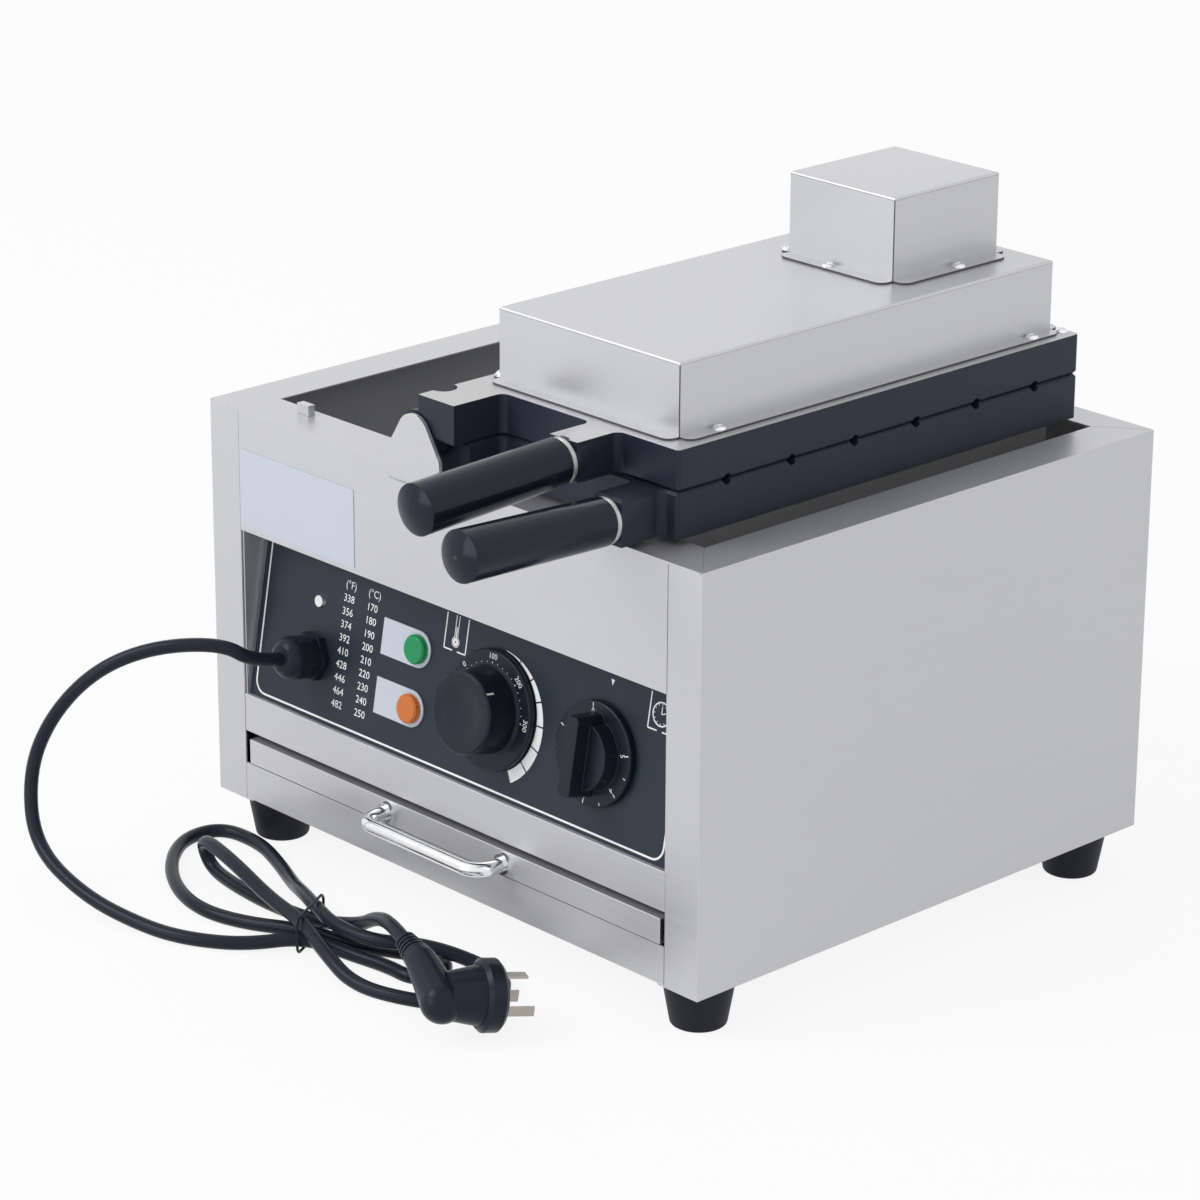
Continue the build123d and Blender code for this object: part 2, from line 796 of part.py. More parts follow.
# Handles: a steel rod from the boss into the grip, a collar, and a grip with a domed end
for which, mould in moulds.items():
    seat = mould["seat"]
    handle_axis = Axis(seat.origin, seat.z_dir)
    profile_plane = Plane(origin=seat.origin, x_dir=seat.x_dir, z_dir=-seat.y_dir)
    grip_start = pad_height + collar_length
    grip_end = grip_start + grip_length
    bore_end = grip_start + rod_in_grip
    with BuildPart() as rod:
        with BuildSketch(seat.offset(pad_height - rod_in_boss)):
            Circle(rod_radius)
        extrude(amount=bore_end - pad_height + rod_in_boss)
    keep(rod.part, f"{which}_handle_rod")

    with BuildPart() as collar:
        with BuildSketch(seat.offset(pad_height)):
            Circle(collar_radius)
            Circle(rod_radius + rod_play, mode=Mode.SUBTRACT)
        extrude(amount=collar_length)
        chamfer(collar.edges().filter_by(GeomType.CIRCLE).group_by(SortBy.RADIUS)[-1], collar_bevel)
    keep(collar.part, f"{which}_handle_collar")

    with BuildPart() as grip:
        with BuildSketch(profile_plane):
            with BuildLine():
                Polyline(
                    (0, grip_end + dome_height),
                    (0, bore_end),
                    (rod_radius + rod_play, bore_end),
                    (rod_radius + rod_play, grip_start),
                    (grip_root_radius - grip_bevel, grip_start),
                    (grip_root_radius, grip_start + grip_bevel),
                    (grip_end_radius, grip_end),
                )
                RadiusArc((grip_end_radius, grip_end), (0, grip_end + dome_height), -dome_sphere)
            make_face()
        revolve(axis=handle_axis)
    keep(grip.part, f"{which}_grip")

# Hinge brackets: sheet bent to an L, whose upright is rounded about the hinge axis
shoulder_z = pivot_z - bracket_shoulder
tangent_reach = sqrt((bracket_width / 2) ** 2 + bracket_shoulder**2)
tangent_turn = pi / 2 - asin(bracket_crown / tangent_reach) - atan2(bracket_shoulder, bracket_width / 2)
tangent_x = bracket_crown * cos(tangent_turn)
tangent_z = pivot_z + bracket_crown * sin(tangent_turn)
bracket_tops = (
    ("front", front_pin_y - side_play, -1, front_y + rim_front - front_foot_inset),
    ("rear", rear_upper[1] + side_play, 1, rear_y - rim_rear + rear_foot_inset),
)
for row, inner_y, side, foot_y in bracket_tops:
    outer_y = inner_y + side * bracket_sheet
    with BuildPart() as bracket:
        with BuildSketch(Plane.YZ) as bracket_side:
            with BuildLine():
                Polyline(
                    (outer_y, rim_z),
                    (outer_y, pivot_z + bracket_crown),
                    (inner_y, pivot_z + bracket_crown),
                    (inner_y, rim_z + bracket_sheet),
                    (foot_y, rim_z + bracket_sheet),
                    (foot_y, rim_z),
                    close=True,
                )
            make_face()
            fillet(bracket_side.vertices().sort_by_distance((outer_y, rim_z))[0], bracket_bend)
            inner_corner = (inner_y, rim_z + bracket_sheet)
            fillet(bracket_side.vertices().sort_by_distance(inner_corner)[0], bracket_bend - bracket_sheet)
        extrude(amount=bracket_width / 2, both=True)
        with BuildSketch(Plane.XZ) as upright:
            with BuildLine():
                Polyline(
                    (-bracket_width / 2, rim_z),
                    (bracket_width / 2, rim_z),
                    (bracket_width / 2, shoulder_z),
                    (tangent_x, tangent_z),
                    (-tangent_x, tangent_z),
                    (-bracket_width / 2, shoulder_z),
                    close=True,
                )
            make_face()
            with Locations((0, pivot_z)):
                Circle(bracket_crown)
            shoulders = [corner for corner in upright.vertices() if abs(corner.Y - shoulder_z) < 0.01]
            fillet(shoulders, bracket_bend * 2)
        extrude(amount=cabinet_depth, both=True, mode=Mode.INTERSECT)
        with BuildSketch(Plane.XY.offset(rim_z)):
            with Locations(*bolt_places[row]):
                Circle(bolt_radius + bolt_play)
        extrude(amount=bracket_sheet, mode=Mode.SUBTRACT)
    keep(bracket.part, f"{row}_bracket")

# Bracket bolts: heads under the rims, shanks that end just below the tops of the bracket feet
with BuildPart() as bracket_bolts:
    for places in bolt_places.values():
        with BuildSketch(Plane.XY.offset(rim_z - sheet)):
            with Locations(*places):
                RegularPolygon(bolt_head_radius, 6)
        extrude(amount=-bolt_head_height)
        with BuildSketch(Plane.XY.offset(rim_z - sheet)):
            with Locations(*places):
                Circle(bolt_radius)
        extrude(amount=sheet + bracket_sheet - bolt_play)
keep(bracket_bolts.part, "bracket_bolts")

# Hinge pins: fixed in the brackets, each through one knuckle of either plate
pin_end = 0.2
for row, start_y, end_y in (
    ("front", front_pin_y - side_play, front_lower[1] + pin_end),
    ("rear", rear_lower[0] - pin_end, rear_upper[1] + side_play),
):
    with BuildPart() as pin:
        with BuildSketch(Plane(origin=(0, start_y, pivot_z), x_dir=(1, 0, 0), z_dir=(0, 1, 0))):
            Circle(pin_radius)
        extrude(amount=end_y - start_y)
    keep(pin.part, f"{row}_hinge_pin")

# Rests on the front rim: the closed moulds lie on the right, the flipped ones on the left
rest_x = 140.0
rest_width = 10.0
rest_depth = 4.8
rest_setback = 0.7
rest_gap = 0.1
rest_tops = ((1, lower_bottom_z), (-1, 2 * pivot_z - upper_top_z))
with BuildPart() as rest_pads:
    for side, landing_z in rest_tops:
        rest_y = plate_front_y + rest_setback
        add(
            block(
                side * (rest_x - rest_width / 2),
                side * (rest_x + rest_width / 2),
                rest_y,
                rest_y + rest_depth,
                rim_z,
                landing_z - rest_gap,
            )
        )
keep(rest_pads.part, "rest_pads")

# Temperature knob: a numbered dial with a tall round grip, dished at its face
spindle_in_knob = 15.0
spindle_in_body = 10.0
dial_bevel = 1.0
knob_foot = 1.5
knob_bevel = 1.2
for name, (x, up) in (("temperature", knob_places[0]), ("timer", knob_places[1])):
    with BuildPart() as spindle:
        with BuildSketch(on_panel(x, up, -panel_sheet - spindle_in_body)):
            Circle(spindle_radius)
        extrude(amount=spindle_in_knob + panel_sheet + spindle_in_body)
    keep(spindle.part, f"{name}_spindle")

knob_axis_plane = on_panel(temperature_x, temperature_up)
knob_profile_plane = Plane(
    origin=knob_axis_plane.origin, x_dir=knob_axis_plane.x_dir, z_dir=-knob_axis_plane.y_dir
)
dish_sphere = (dish_radius**2 + dish_depth**2) / (2 * dish_depth)
dish_centre_height = grip_knob_height - dish_depth + dish_sphere
with BuildPart() as temperature_knob:
    with BuildSketch(knob_profile_plane):
        with BuildLine():
            Polyline(
                (0, spindle_in_knob),
                (spindle_radius + rod_play, spindle_in_knob),
                (spindle_radius + rod_play, knob_gap),
                (dial_radius, knob_gap),
                (dial_radius, knob_gap + dial_height - dial_bevel),
                (dial_radius - dial_bevel, knob_gap + dial_height),
                (grip_knob_radius + knob_foot, knob_gap + dial_height),
                (grip_knob_radius, knob_gap + dial_height + knob_foot),
                (grip_knob_face_radius, grip_knob_height - knob_bevel),
                (grip_knob_face_radius - knob_bevel, grip_knob_height),
                (0, grip_knob_height),
                close=True,
            )
        make_face()
    revolve(axis=Axis(knob_axis_plane.origin, knob_axis_plane.z_dir))
    with Locations(on_panel(temperature_x, temperature_up, dish_centre_height).origin):
        Sphere(dish_sphere, mode=Mode.SUBTRACT)
keep(temperature_knob.part, "temperature_knob")

# Timer knob: a flat dial, a round skirt and an upright bar to hold
timer_bevel = 0.8
timer_skirt_taper = 6
timer_bar_taper = 3
timer_bar_corner = 3.3
with BuildPart() as timer_knob:
    with BuildSketch(on_panel(timer_x, timer_up, knob_gap)):
        Circle(timer_radius)
    extrude(amount=dial_height)
    chamfer(timer_knob.edges().sort_by(Axis.Y)[0], timer_bevel)
    with BuildSketch(on_panel(timer_x, timer_up, knob_gap + dial_height)):
        Circle(timer_skirt_radius)
    extrude(amount=timer_skirt_height, taper=timer_skirt_taper)
    with BuildSketch(on_panel(timer_x, timer_up, knob_gap + dial_height)):
        RectangleRounded(timer_bar_width, timer_bar_length, timer_bar_corner)
    extrude(amount=timer_height - knob_gap - dial_height, taper=timer_bar_taper)
    with BuildSketch(on_panel(timer_x, timer_up, spindle_in_knob)):
        Circle(spindle_radius + rod_play)
    extrude(amount=-spindle_in_knob, mode=Mode.SUBTRACT)
keep(timer_knob.part, "timer_knob")

# Thermostat and timer bodies, fixed behind the panel, each with a bore for its spindle
control_bodies = (
    ("thermostat_body", knob_places[0], (44.0, 50.0, 30.0)),
    ("timer_body", knob_places[1], (40.0, 40.0, 26.0)),
)
control_body_corner = 3.0
spindle_end_play = 0.3
for name, (x, up), (body_width, body_height, body_depth) in control_bodies:
    with BuildPart() as control_body:
        with BuildSketch(on_panel(x, up, -panel_sheet)):
            RectangleRounded(body_width, body_height, control_body_corner)
        extrude(amount=-body_depth)
        with BuildSketch(on_panel(x, up, -panel_sheet)):
            Circle(spindle_radius + spindle_play)
        extrude(amount=-(spindle_in_body + spindle_end_play), mode=Mode.SUBTRACT)
    keep(control_body.part, name)

# Lamp plates: flat at the left and round at the right, where the lamp comes through
plate_run = lamp_plate_width - lamp_from_round_end
with BuildPart() as lamp_plates:
    for up in lamp_up:
        with BuildSketch(on_panel(lamp_x, up)):
            with Locations((-plate_run / 2, 0)):
                Rectangle(plate_run, lamp_plate_height)
            Circle(lamp_plate_height / 2)
            Circle(lamp_stem_radius + thread_play, mode=Mode.SUBTRACT)
        extrude(amount=lamp_plate_sheet)
keep(lamp_plates.part, "lamp_plates")

lamp_stem_length = 22.0
lamp_bevel = 1.2
for name, up in (("heat_lamp", lamp_up[0]), ("power_lamp", lamp_up[1])):
    with BuildPart() as lamp:
        with BuildSketch(on_panel(lamp_x, up, lamp_plate_sheet)):
            Circle(lamp_radius)
        extrude(amount=lamp_height)
        chamfer(lamp.edges().sort_by(Axis.Y)[0], lamp_bevel)
        with BuildSketch(on_panel(lamp_x, up, lamp_plate_sheet)):
            Circle(lamp_stem_radius)
        extrude(amount=-lamp_stem_length)
    keep(lamp.part, name)

# Cable gland: body and lock nut clamp the panel, and the cap closes round the cord
locknut_radius = 13.5
locknut_height = 5.0
thread_overrun = 2.0
gland_plane = on_panel(gland_x, gland_up)
gland_profile_plane = Plane(origin=gland_plane.origin, x_dir=gland_plane.x_dir, z_dir=-gland_plane.y_dir)
gland_axis = Axis(gland_plane.origin, gland_plane.z_dir)
with BuildPart() as gland_body:
    with BuildSketch(gland_plane):
        RegularPolygon(gland_base_radius, 6)
    extrude(amount=gland_base_height)
    with BuildSketch(gland_plane):
        Circle(gland_thread_radius)
    extrude(amount=-panel_sheet - locknut_height - thread_overrun)
keep(gland_body.part, "gland_body")

with BuildPart() as gland_locknut:
    with BuildSketch(on_panel(gland_x, gland_up, -panel_sheet)):
        RegularPolygon(locknut_radius, 6)
        Circle(gland_thread_radius + thread_play, mode=Mode.SUBTRACT)
    extrude(amount=-locknut_height)
keep(gland_locknut.part, "gland_locknut")

gland_mouth_radius = cord_radius + 3.0
gland_nose = 8.0
with BuildPart() as gland_cap:
    with BuildSketch(gland_profile_plane):
        with BuildLine():
            Polyline(
                (0, gland_base_height),
                (gland_nut_radius, gland_base_height),
                (gland_nut_radius, gland_length - gland_nose),
            )
            ThreePointArc(
                (gland_nut_radius, gland_length - gland_nose),
                (gland_nut_radius - gland_nose / 5, gland_length - gland_nose * 3 / 8),
                (gland_mouth_radius, gland_length),
            )
            Polyline((gland_mouth_radius, gland_length), (0, gland_length), (0, gland_base_height))
        make_face()
    revolve(axis=gland_axis)
keep(gland_cap.part, "gland_cap")

# Terminal block on the back wall of the control bay
block_width = 62.0
block_depth = 16.0
block_height = 20.0
block_up = 92.0
terminal_count = 5
terminal_pitch = 12.0
terminal_radius = 3.5
terminal_depth = 8.0
with BuildPart() as terminal_block:
    add(
        block(
            gland_x - block_width / 2,
            gland_x + block_width / 2,
            front_y + shield_depth - block_depth,
            front_y + shield_depth,
            base_z + block_up,
            base_z + block_up + block_height,
        )
    )
    with BuildSketch(Plane.XY.offset(base_z + block_up + block_height)):
        with Locations((gland_x, front_y + shield_depth - block_depth / 2)):
            with GridLocations(terminal_pitch, 1, terminal_count, 1):
                Circle(terminal_radius)
    extrude(amount=-terminal_depth, mode=Mode.SUBTRACT)
keep(terminal_block.part, "terminal_block")

# Drawer: a shallow tray behind a folded front, on two runners
front_lip = 12.0
drawer_bottom_z = base_z + rail_height + drawer_play
tray_bottom_z = drawer_bottom_z + sheet
tray_front_y = front_y + sheet
drawer_half = drawer_front_width / 2
with BuildPart() as drawer_front:
    add(
        block(
            -drawer_half,
            drawer_half,
            front_y,
            front_y + sheet,
            drawer_bottom_z,
            drawer_bottom_z + drawer_front_height,
        )
    )
    for lip_z in (drawer_bottom_z, drawer_bottom_z + drawer_front_height - sheet):
        add(block(-drawer_half, drawer_half, front_y, front_y + front_lip, lip_z, lip_z + sheet))
keep(drawer_front.part, "drawer_front")

tray_height = drawer_front_height - 2 * sheet
tray_corner = 4.0
with BuildPart() as drawer_tray:
    with BuildSketch(Plane.XY.offset(tray_bottom_z)):
        with Locations((0, tray_front_y + tray_depth / 2)):
            RectangleRounded(tray_width, tray_depth, tray_corner)
    extrude(amount=tray_height)
    offset(amount=-tray_sheet, openings=drawer_tray.faces().sort_by(Axis.Z)[-1])
keep(drawer_tray.part, "drawer_tray")

pull_z = drawer_bottom_z + drawer_front_height / 2
pull_half = pull_centres / 2
with BuildPart() as drawer_pull:
    with BuildLine() as pull_path:
        FilletPolyline(
            (-pull_half, front_y, pull_z),
            (-pull_half, front_y - pull_reach + pull_radius, pull_z),
            (pull_half, front_y - pull_reach + pull_radius, pull_z),
            (pull_half, front_y, pull_z),
            radius=pull_bend,
        )
    with BuildSketch(Plane(origin=(-pull_half, front_y, pull_z), z_dir=(0, -1, 0))):
        Circle(pull_radius)
    sweep()
    with BuildSketch(Plane(origin=(0, front_y, pull_z), x_dir=(1, 0, 0), z_dir=(0, -1, 0))):
        with GridLocations(pull_centres, 1, 2, 1):
            Circle(pull_foot_radius)
    extrude(amount=pull_foot_height, taper=pull_foot_taper)
keep(drawer_pull.part, "drawer_pull")

runner_gap = 0.1
runner_inset = 8.0
runner_front_gap = 5.0
runner_rear_gap = 20.0
with BuildPart() as drawer_runners:
    for side in (-1, 1):
        wall_x = side * (half_width - sheet)
        ledge_top = tray_bottom_z - runner_gap
        runner_y0 = front_y + front_lip + runner_front_gap
        runner_y1 = rear_y - runner_rear_gap
        add(
            block(
                wall_x,
                side * (tray_width / 2 - runner_inset),
                runner_y0,
                runner_y1,
                ledge_top - sheet,
                ledge_top,
            )
        )
        add(
            block(
                wall_x,
                wall_x - side * sheet,
                runner_y0,
                runner_y1,
                ledge_top - sheet,
                ledge_top + runner_leg,
            )
        )
keep(drawer_runners.part, "drawer_runners")

# Plug: a round flange and hub, an angled arm, and a ribbed relief that meets the cord
plug_centre = Vector(107.7, -183.2, 20.83)
plug_direction = Vector(0.378, 0.915, -0.145).normalized()
plug_flange_radius = 20.0
plug_flange_half = 5.85
plug_flange_chamfer = 2.2
plug_hub_radius = 16.5
plug_hub_end_radius = 13.0
plug_hub_length = 18.0
arm_start = Vector(99.8, -208.5, 22.4)
arm_end = Vector(72.3, -198.8, 33.4)
arm_radius = 12.0
arm_end_radius = 8.5
relief_end = Vector(53.0, -193.3, 37.0)
relief_end_radius = 6.0
relief_grooves = 4
relief_pitch = 3.2
first_groove = 2.24
groove_width = 1.3
groove_depth = 1.2
plug_plane = Plane(origin=plug_centre, z_dir=plug_direction)
arm_run = arm_end - arm_start
relief_run = relief_end - arm_end
relief_direction = relief_run.normalized()
with BuildPart() as plug_body:
    with BuildSketch(plug_plane.offset(-plug_flange_half)):
        Circle(plug_flange_radius)
    extrude(amount=plug_flange_half * 2)
    chamfer(plug_body.edges().filter_by(GeomType.CIRCLE), plug_flange_chamfer)
    with BuildSketch(plug_plane.offset(-plug_flange_half)):
        Circle(plug_hub_radius)
    with BuildSketch(plug_plane.offset(-plug_flange_half - plug_hub_length)):
        Circle(plug_hub_end_radius)
    loft()
    with Locations(arm_start):
        Sphere(arm_radius)
    with BuildSketch(Plane(origin=arm_start, z_dir=arm_run)):
        Circle(arm_radius)
    with BuildSketch(Plane(origin=arm_end, z_dir=arm_run)):
        Circle(arm_end_radius)
    loft()
    with Locations(arm_end):
        Sphere(arm_end_radius)
    with BuildSketch(Plane(origin=arm_end, z_dir=relief_run)):
        Circle(arm_end_radius)
    with BuildSketch(Plane(origin=relief_end, z_dir=relief_run)):
        Circle(relief_end_radius)
    loft()
    for i in range(relief_grooves):
        groove_from_end = first_groove + i * relief_pitch
        share = groove_from_end / relief_run.length
        groove_floor = relief_end_radius + (arm_end_radius - relief_end_radius) * share - groove_depth
        groove_origin = relief_end - relief_direction * groove_from_end
        with BuildSketch(Plane(origin=groove_origin, z_dir=relief_run)):
            Circle(arm_end_radius + groove_depth)
            Circle(groove_floor, mode=Mode.SUBTRACT)
        extrude(amount=-groove_width, mode=Mode.SUBTRACT)
keep(plug_body.part, "plug_body")

# Plug blades: across the flange, up it, width across, width up, length
blade_sheet = 1.6
plug_blades = (
    (2.0, 10.4, 6.5, blade_sheet, 15.5),
    (-8.0, -6.0, blade_sheet, 5.5, 18.5),
    (9.0, -4.5, blade_sheet, 6.5, 15.5),
)
blade_plane = Plane(
    origin=plug_centre + plug_direction * plug_flange_half,
    x_dir=Vector(0, 0, 1).cross(plug_direction),
    z_dir=plug_direction,
)
with BuildPart() as plug_pins:
    for across, up, blade_width, blade_height, blade_length in plug_blades:
        with BuildSketch(blade_plane):
            with Locations((across, up)):
                Rectangle(blade_width, blade_height)
        extrude(amount=blade_length)
keep(plug_pins.part, "plug_pins")

# Cord: straight runs and tangent arcs from the gland to the plug, coiled twice and tied
cord_lead = 20.0
arc_share = 0.45
gland_exit = on_panel(gland_x, gland_up, gland_length).origin
cord_points = [
    gland_exit,
    gland_exit + panel_plane.z_dir * cord_lead,
    (-130.5, -168.5, 149.9),
    (-163.2, -192.5, 145.1),
    (-189.6, -214.5, 128.9),
    (-214.0, -228.5, 97.0),
    (-225.0, -237.0, 62.0),
    (-211.0, -245.0, 24.0),
    (-158.0, -250.0, 11.0),
    (-112.0, -241.5, 4.5),
    (-84.0, -232.5, 4.0),
    (-58.0, -215.0, 4.3),
    (-38.0, -188.5, 7.4),
    (-12.0, -180.5, 4.2),
    (16.0, -175.0, 4.0),
    (38.0, -176.0, 4.0),
    (46.0, -159.0, 4.0),
    (30.0, -145.0, 4.0),
    (6.0, -159.0, 4.0),
    (-18.0, -171.5, 4.4),
    (-46.0, -183.0, 7.4),
    (-80.0, -197.0, 4.3),
    (-112.0, -204.0, 4.0),
    (-146.0, -195.0, 4.0),
    (-178.0, -174.0, 4.0),
    (-199.0, -147.0, 4.0),
    (-196.0, -121.0, 4.0),
    (-163.0, -119.0, 4.0),
    (-132.0, -130.0, 4.0),
    (-102.0, -144.0, 5.0),
    (-76.0, -159.0, 13.5),
    (-46.5, -172.0, 16.6),
    (-24.0, -179.0, 16.4),
    (6.0, -177.0, 16.0),
    (32.0, -158.0, 16.8),
    (60.0, -136.5, 5.0),
    (84.0, -146.0, 4.0),
    (84.0, -176.0, 4.0),
    (57.0, -195.0, 4.0),
    (22.0, -204.5, 4.0),
    (-6.0, -200.5, 12.0),
    (-40.0, -189.0, 16.8),
    (-74.0, -184.0, 17.4),
    (-118.0, -176.0, 24.4),
    (-158.0, -166.5, 24.0),
    (-156.8, -161.5, 4.0),
    (-128.5, -167.7, 4.0),
    (-90.0, -170.5, 4.2),
    (-51.0, -170.0, 6.9),
    (-22.0, -163.0, 12.0),
    (2.0, -171.0, 27.0),
    relief_end + relief_direction * cord_lead,
    relief_end,
]
cord_points = [Vector(point) for point in cord_points]
cord_runs = [after - before for before, after in zip(cord_points, cord_points[1:])]
cord_radii = []
for run_in, run_out in zip(cord_runs, cord_runs[1:]):
    half_turn = radians(run_in.get_angle(run_out)) / 2
    cord_radii.append(arc_share * min(run_in.length, run_out.length) / tan(half_turn))
with BuildPart() as cord:
    with BuildLine() as cord_line:
        cord_path = FilletPolyline(*cord_points, radius=cord_radii)
    with BuildSketch(Plane(origin=cord_points[0], z_dir=cord_runs[0])):
        Circle(cord_radius)
    sweep()
keep(cord.part, "cord")

# Cord's own checks: its bends, its volume against section times length, and its gap to itself
cord_length = cord_path.length
cord_section = pi * cord_radius**2
sample_step = 2.0
own_length = 8 * cord_radius
sample_count = int(cord_length / sample_step)
samples = [cord_path.position_at(i / sample_count) for i in range(sample_count + 1)]
near_samples = int(own_length / sample_step)
cord_gap = min(
    (samples[i] - samples[j]).length - 2 * cord_radius
    for i in range(sample_count + 1)
    for j in range(i + near_samples, sample_count + 1)
)
longer_over_shorter = max(
    max(a.length, b.length) / min(a.length, b.length) for a, b in zip(cord_runs, cord_runs[1:])
)
print("cord radii", [round(radius, 1) for radius in cord_radii])
print("cord length", round(cord_length, 1), "least gap to itself", round(cord_gap, 2))
print("cord volume", round(cord.part.volume), "section times length", round(cord_section * cord_length))
print("longest run over its neighbour", round(longer_over_shorter, 2))
print("cord start", [round(value, 3) for value in cord_points[0]])

# Cord tie: one turn of wire round the bundle
tie_radius = 0.8
tie_centre = (-43.5, -180.0)
tie_normal = (0.88, 0.47, 0)
tie_left = 19.4
tie_right = 19.2
tie_bottom_z = 0.9
tie_top_z = 21.6
tie_corner = 4.0
tie_plane = Plane(origin=(*tie_centre, 0), x_dir=(-0.47, 0.88, 0), z_dir=tie_normal)
tie_up = 1 if tie_plane.y_dir.Z > 0 else -1
tie_corners = (
    (tie_right, tie_up * tie_bottom_z),
    (tie_right, tie_up * tie_top_z),
    (-tie_left, tie_up * tie_top_z),
    (-tie_left, tie_up * tie_bottom_z),
)
with BuildPart() as cord_tie:
    with BuildLine():
        tie_path = FilletPolyline(
            *[tie_plane.from_local_coords((across, up, 0)) for across, up in tie_corners],
            radius=tie_corner,
            close=True,
        )
    with BuildSketch(Plane(origin=tie_path @ 0, z_dir=tie_path % 0)):
        Circle(tie_radius)
    sweep()
keep(cord_tie.part, "cord_tie")
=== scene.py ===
"""Waffle stick maker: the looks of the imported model, laid out as a Blender add-on and run as a script."""
import json
import math

import bmesh
import bpy
from mathutils import Matrix, Vector

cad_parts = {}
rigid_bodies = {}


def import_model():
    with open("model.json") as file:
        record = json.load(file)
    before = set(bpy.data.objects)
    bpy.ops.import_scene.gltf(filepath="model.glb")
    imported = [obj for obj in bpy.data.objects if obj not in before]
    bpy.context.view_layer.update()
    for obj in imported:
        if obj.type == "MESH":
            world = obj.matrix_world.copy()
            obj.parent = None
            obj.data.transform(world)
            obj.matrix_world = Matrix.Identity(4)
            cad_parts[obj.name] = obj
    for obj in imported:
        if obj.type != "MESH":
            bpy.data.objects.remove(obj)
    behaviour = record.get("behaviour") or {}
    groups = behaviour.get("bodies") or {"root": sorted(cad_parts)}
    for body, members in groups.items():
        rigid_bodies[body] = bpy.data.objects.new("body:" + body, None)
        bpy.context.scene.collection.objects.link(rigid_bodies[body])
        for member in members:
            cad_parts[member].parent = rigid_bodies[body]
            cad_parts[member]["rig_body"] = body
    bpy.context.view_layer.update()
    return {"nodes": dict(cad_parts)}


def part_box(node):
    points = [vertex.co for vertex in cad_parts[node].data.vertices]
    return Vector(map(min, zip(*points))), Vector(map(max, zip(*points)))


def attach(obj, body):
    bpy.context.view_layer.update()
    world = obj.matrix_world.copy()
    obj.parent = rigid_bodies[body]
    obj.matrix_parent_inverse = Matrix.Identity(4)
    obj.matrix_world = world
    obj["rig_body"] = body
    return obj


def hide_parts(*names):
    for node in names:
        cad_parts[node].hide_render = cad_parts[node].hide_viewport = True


bl_info = {
    "name": "Waffle stick maker",
    "version": (1, 0, 0),
    "blender": (4, 5, 0),
    "location": "3D View > Sidebar > Waffle maker",
    "description": "Dresses a countertop waffle stick maker with its finishes, printing, screws and cord",
    "category": "Object",
}

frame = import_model()

# The control panel's face in metres and radians: its lean, the middle of its foot, the ways up and out
PANEL_LEAN = math.atan2(17.5, 100.0)
PANEL_SETBACK = 0.003
PANEL_FOOT_HEIGHT = 0.0943
FRONT_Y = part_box("front_panel")[0].y
PANEL_FOOT = Vector((0.0, FRONT_Y + PANEL_SETBACK, PANEL_FOOT_HEIGHT))
PANEL_UP = Vector((0.0, math.sin(PANEL_LEAN), math.cos(PANEL_LEAN)))
PANEL_OUT = Vector((0.0, -math.cos(PANEL_LEAN), math.sin(PANEL_LEAN)))


def colour_property(name, description, default):
    """A colour that a user would change."""
    return bpy.props.FloatVectorProperty(
        name=name, description=description, subtype="COLOR", size=3, min=0.0, max=1.0, default=default
    )


def length_property(name, description, default):
    """A length that a user would change, in metres."""
    return bpy.props.FloatProperty(
        name=name, description=description, default=default, min=0.0, subtype="DISTANCE", unit="LENGTH"
    )


class WAFFLE_PG_colours(bpy.types.PropertyGroup):
    steel: colour_property("Steel", "Satin sheet of the cabinet and covers", (0.585, 0.59, 0.605))
    machined: colour_property("Machined", "Milled back of the upper mould plate", (0.55, 0.55, 0.56))
    coating: colour_property("Coating", "Dark non-stick coat of the mould plates", (0.015, 0.020, 0.034))
    grip: colour_property("Grip", "Moulded grips and knobs", (0.009, 0.011, 0.018))
    panel: colour_property("Panel", "Satin black control panel", (0.019, 0.025, 0.036))
    rubber: colour_property("Rubber", "Feet", (0.010, 0.010, 0.012))
    cord: colour_property("Cord", "Sheath of the cord and its plug", (0.014, 0.016, 0.027))
    print_white: colour_property("Print", "White printing on the panel", (0.80, 0.82, 0.85))
    heat: colour_property("Heat lamp", "Orange lens", (0.50, 0.13, 0.02))
    power: colour_property("Power lamp", "Green lens", (0.0, 0.22, 0.07))


class WAFFLE_PG_sizes(bpy.types.PropertyGroup):
    edge: length_property("Edge", "Rounding of folded and moulded edges", 0.0004)
    digit: length_property("Digit", "Height of the panel's numbers", 0.0062)
    line: length_property("Line", "Width of the printed lines", 0.0008)
    cord: length_property("Cord", "Diameter of the cord", 0.008)
    screw: length_property("Screw", "Radius of the covers' screw heads", 0.0038)


class Sock:
    """A shader socket that takes part in Python arithmetic."""

    def __init__(self, tree, socket):
        self.tree = tree
        self.socket = socket

    def math(self, operation, *values):
        node = self.tree.nodes.new("ShaderNodeMath")
        node.operation = operation
        for i, value in enumerate(values):
            if isinstance(value, Sock):
                self.tree.links.new(value.socket, node.inputs[i])
            else:
                node.inputs[i].default_value = value
        return Sock(self.tree, node.outputs[0])

    def __add__(self, other):
        return self.math("ADD", self, other)

    def __radd__(self, other):
        return self.math("ADD", other, self)

    def __sub__(self, other):
        return self.math("SUBTRACT", self, other)

    def __mul__(self, other):
        return self.math("MULTIPLY", self, other)


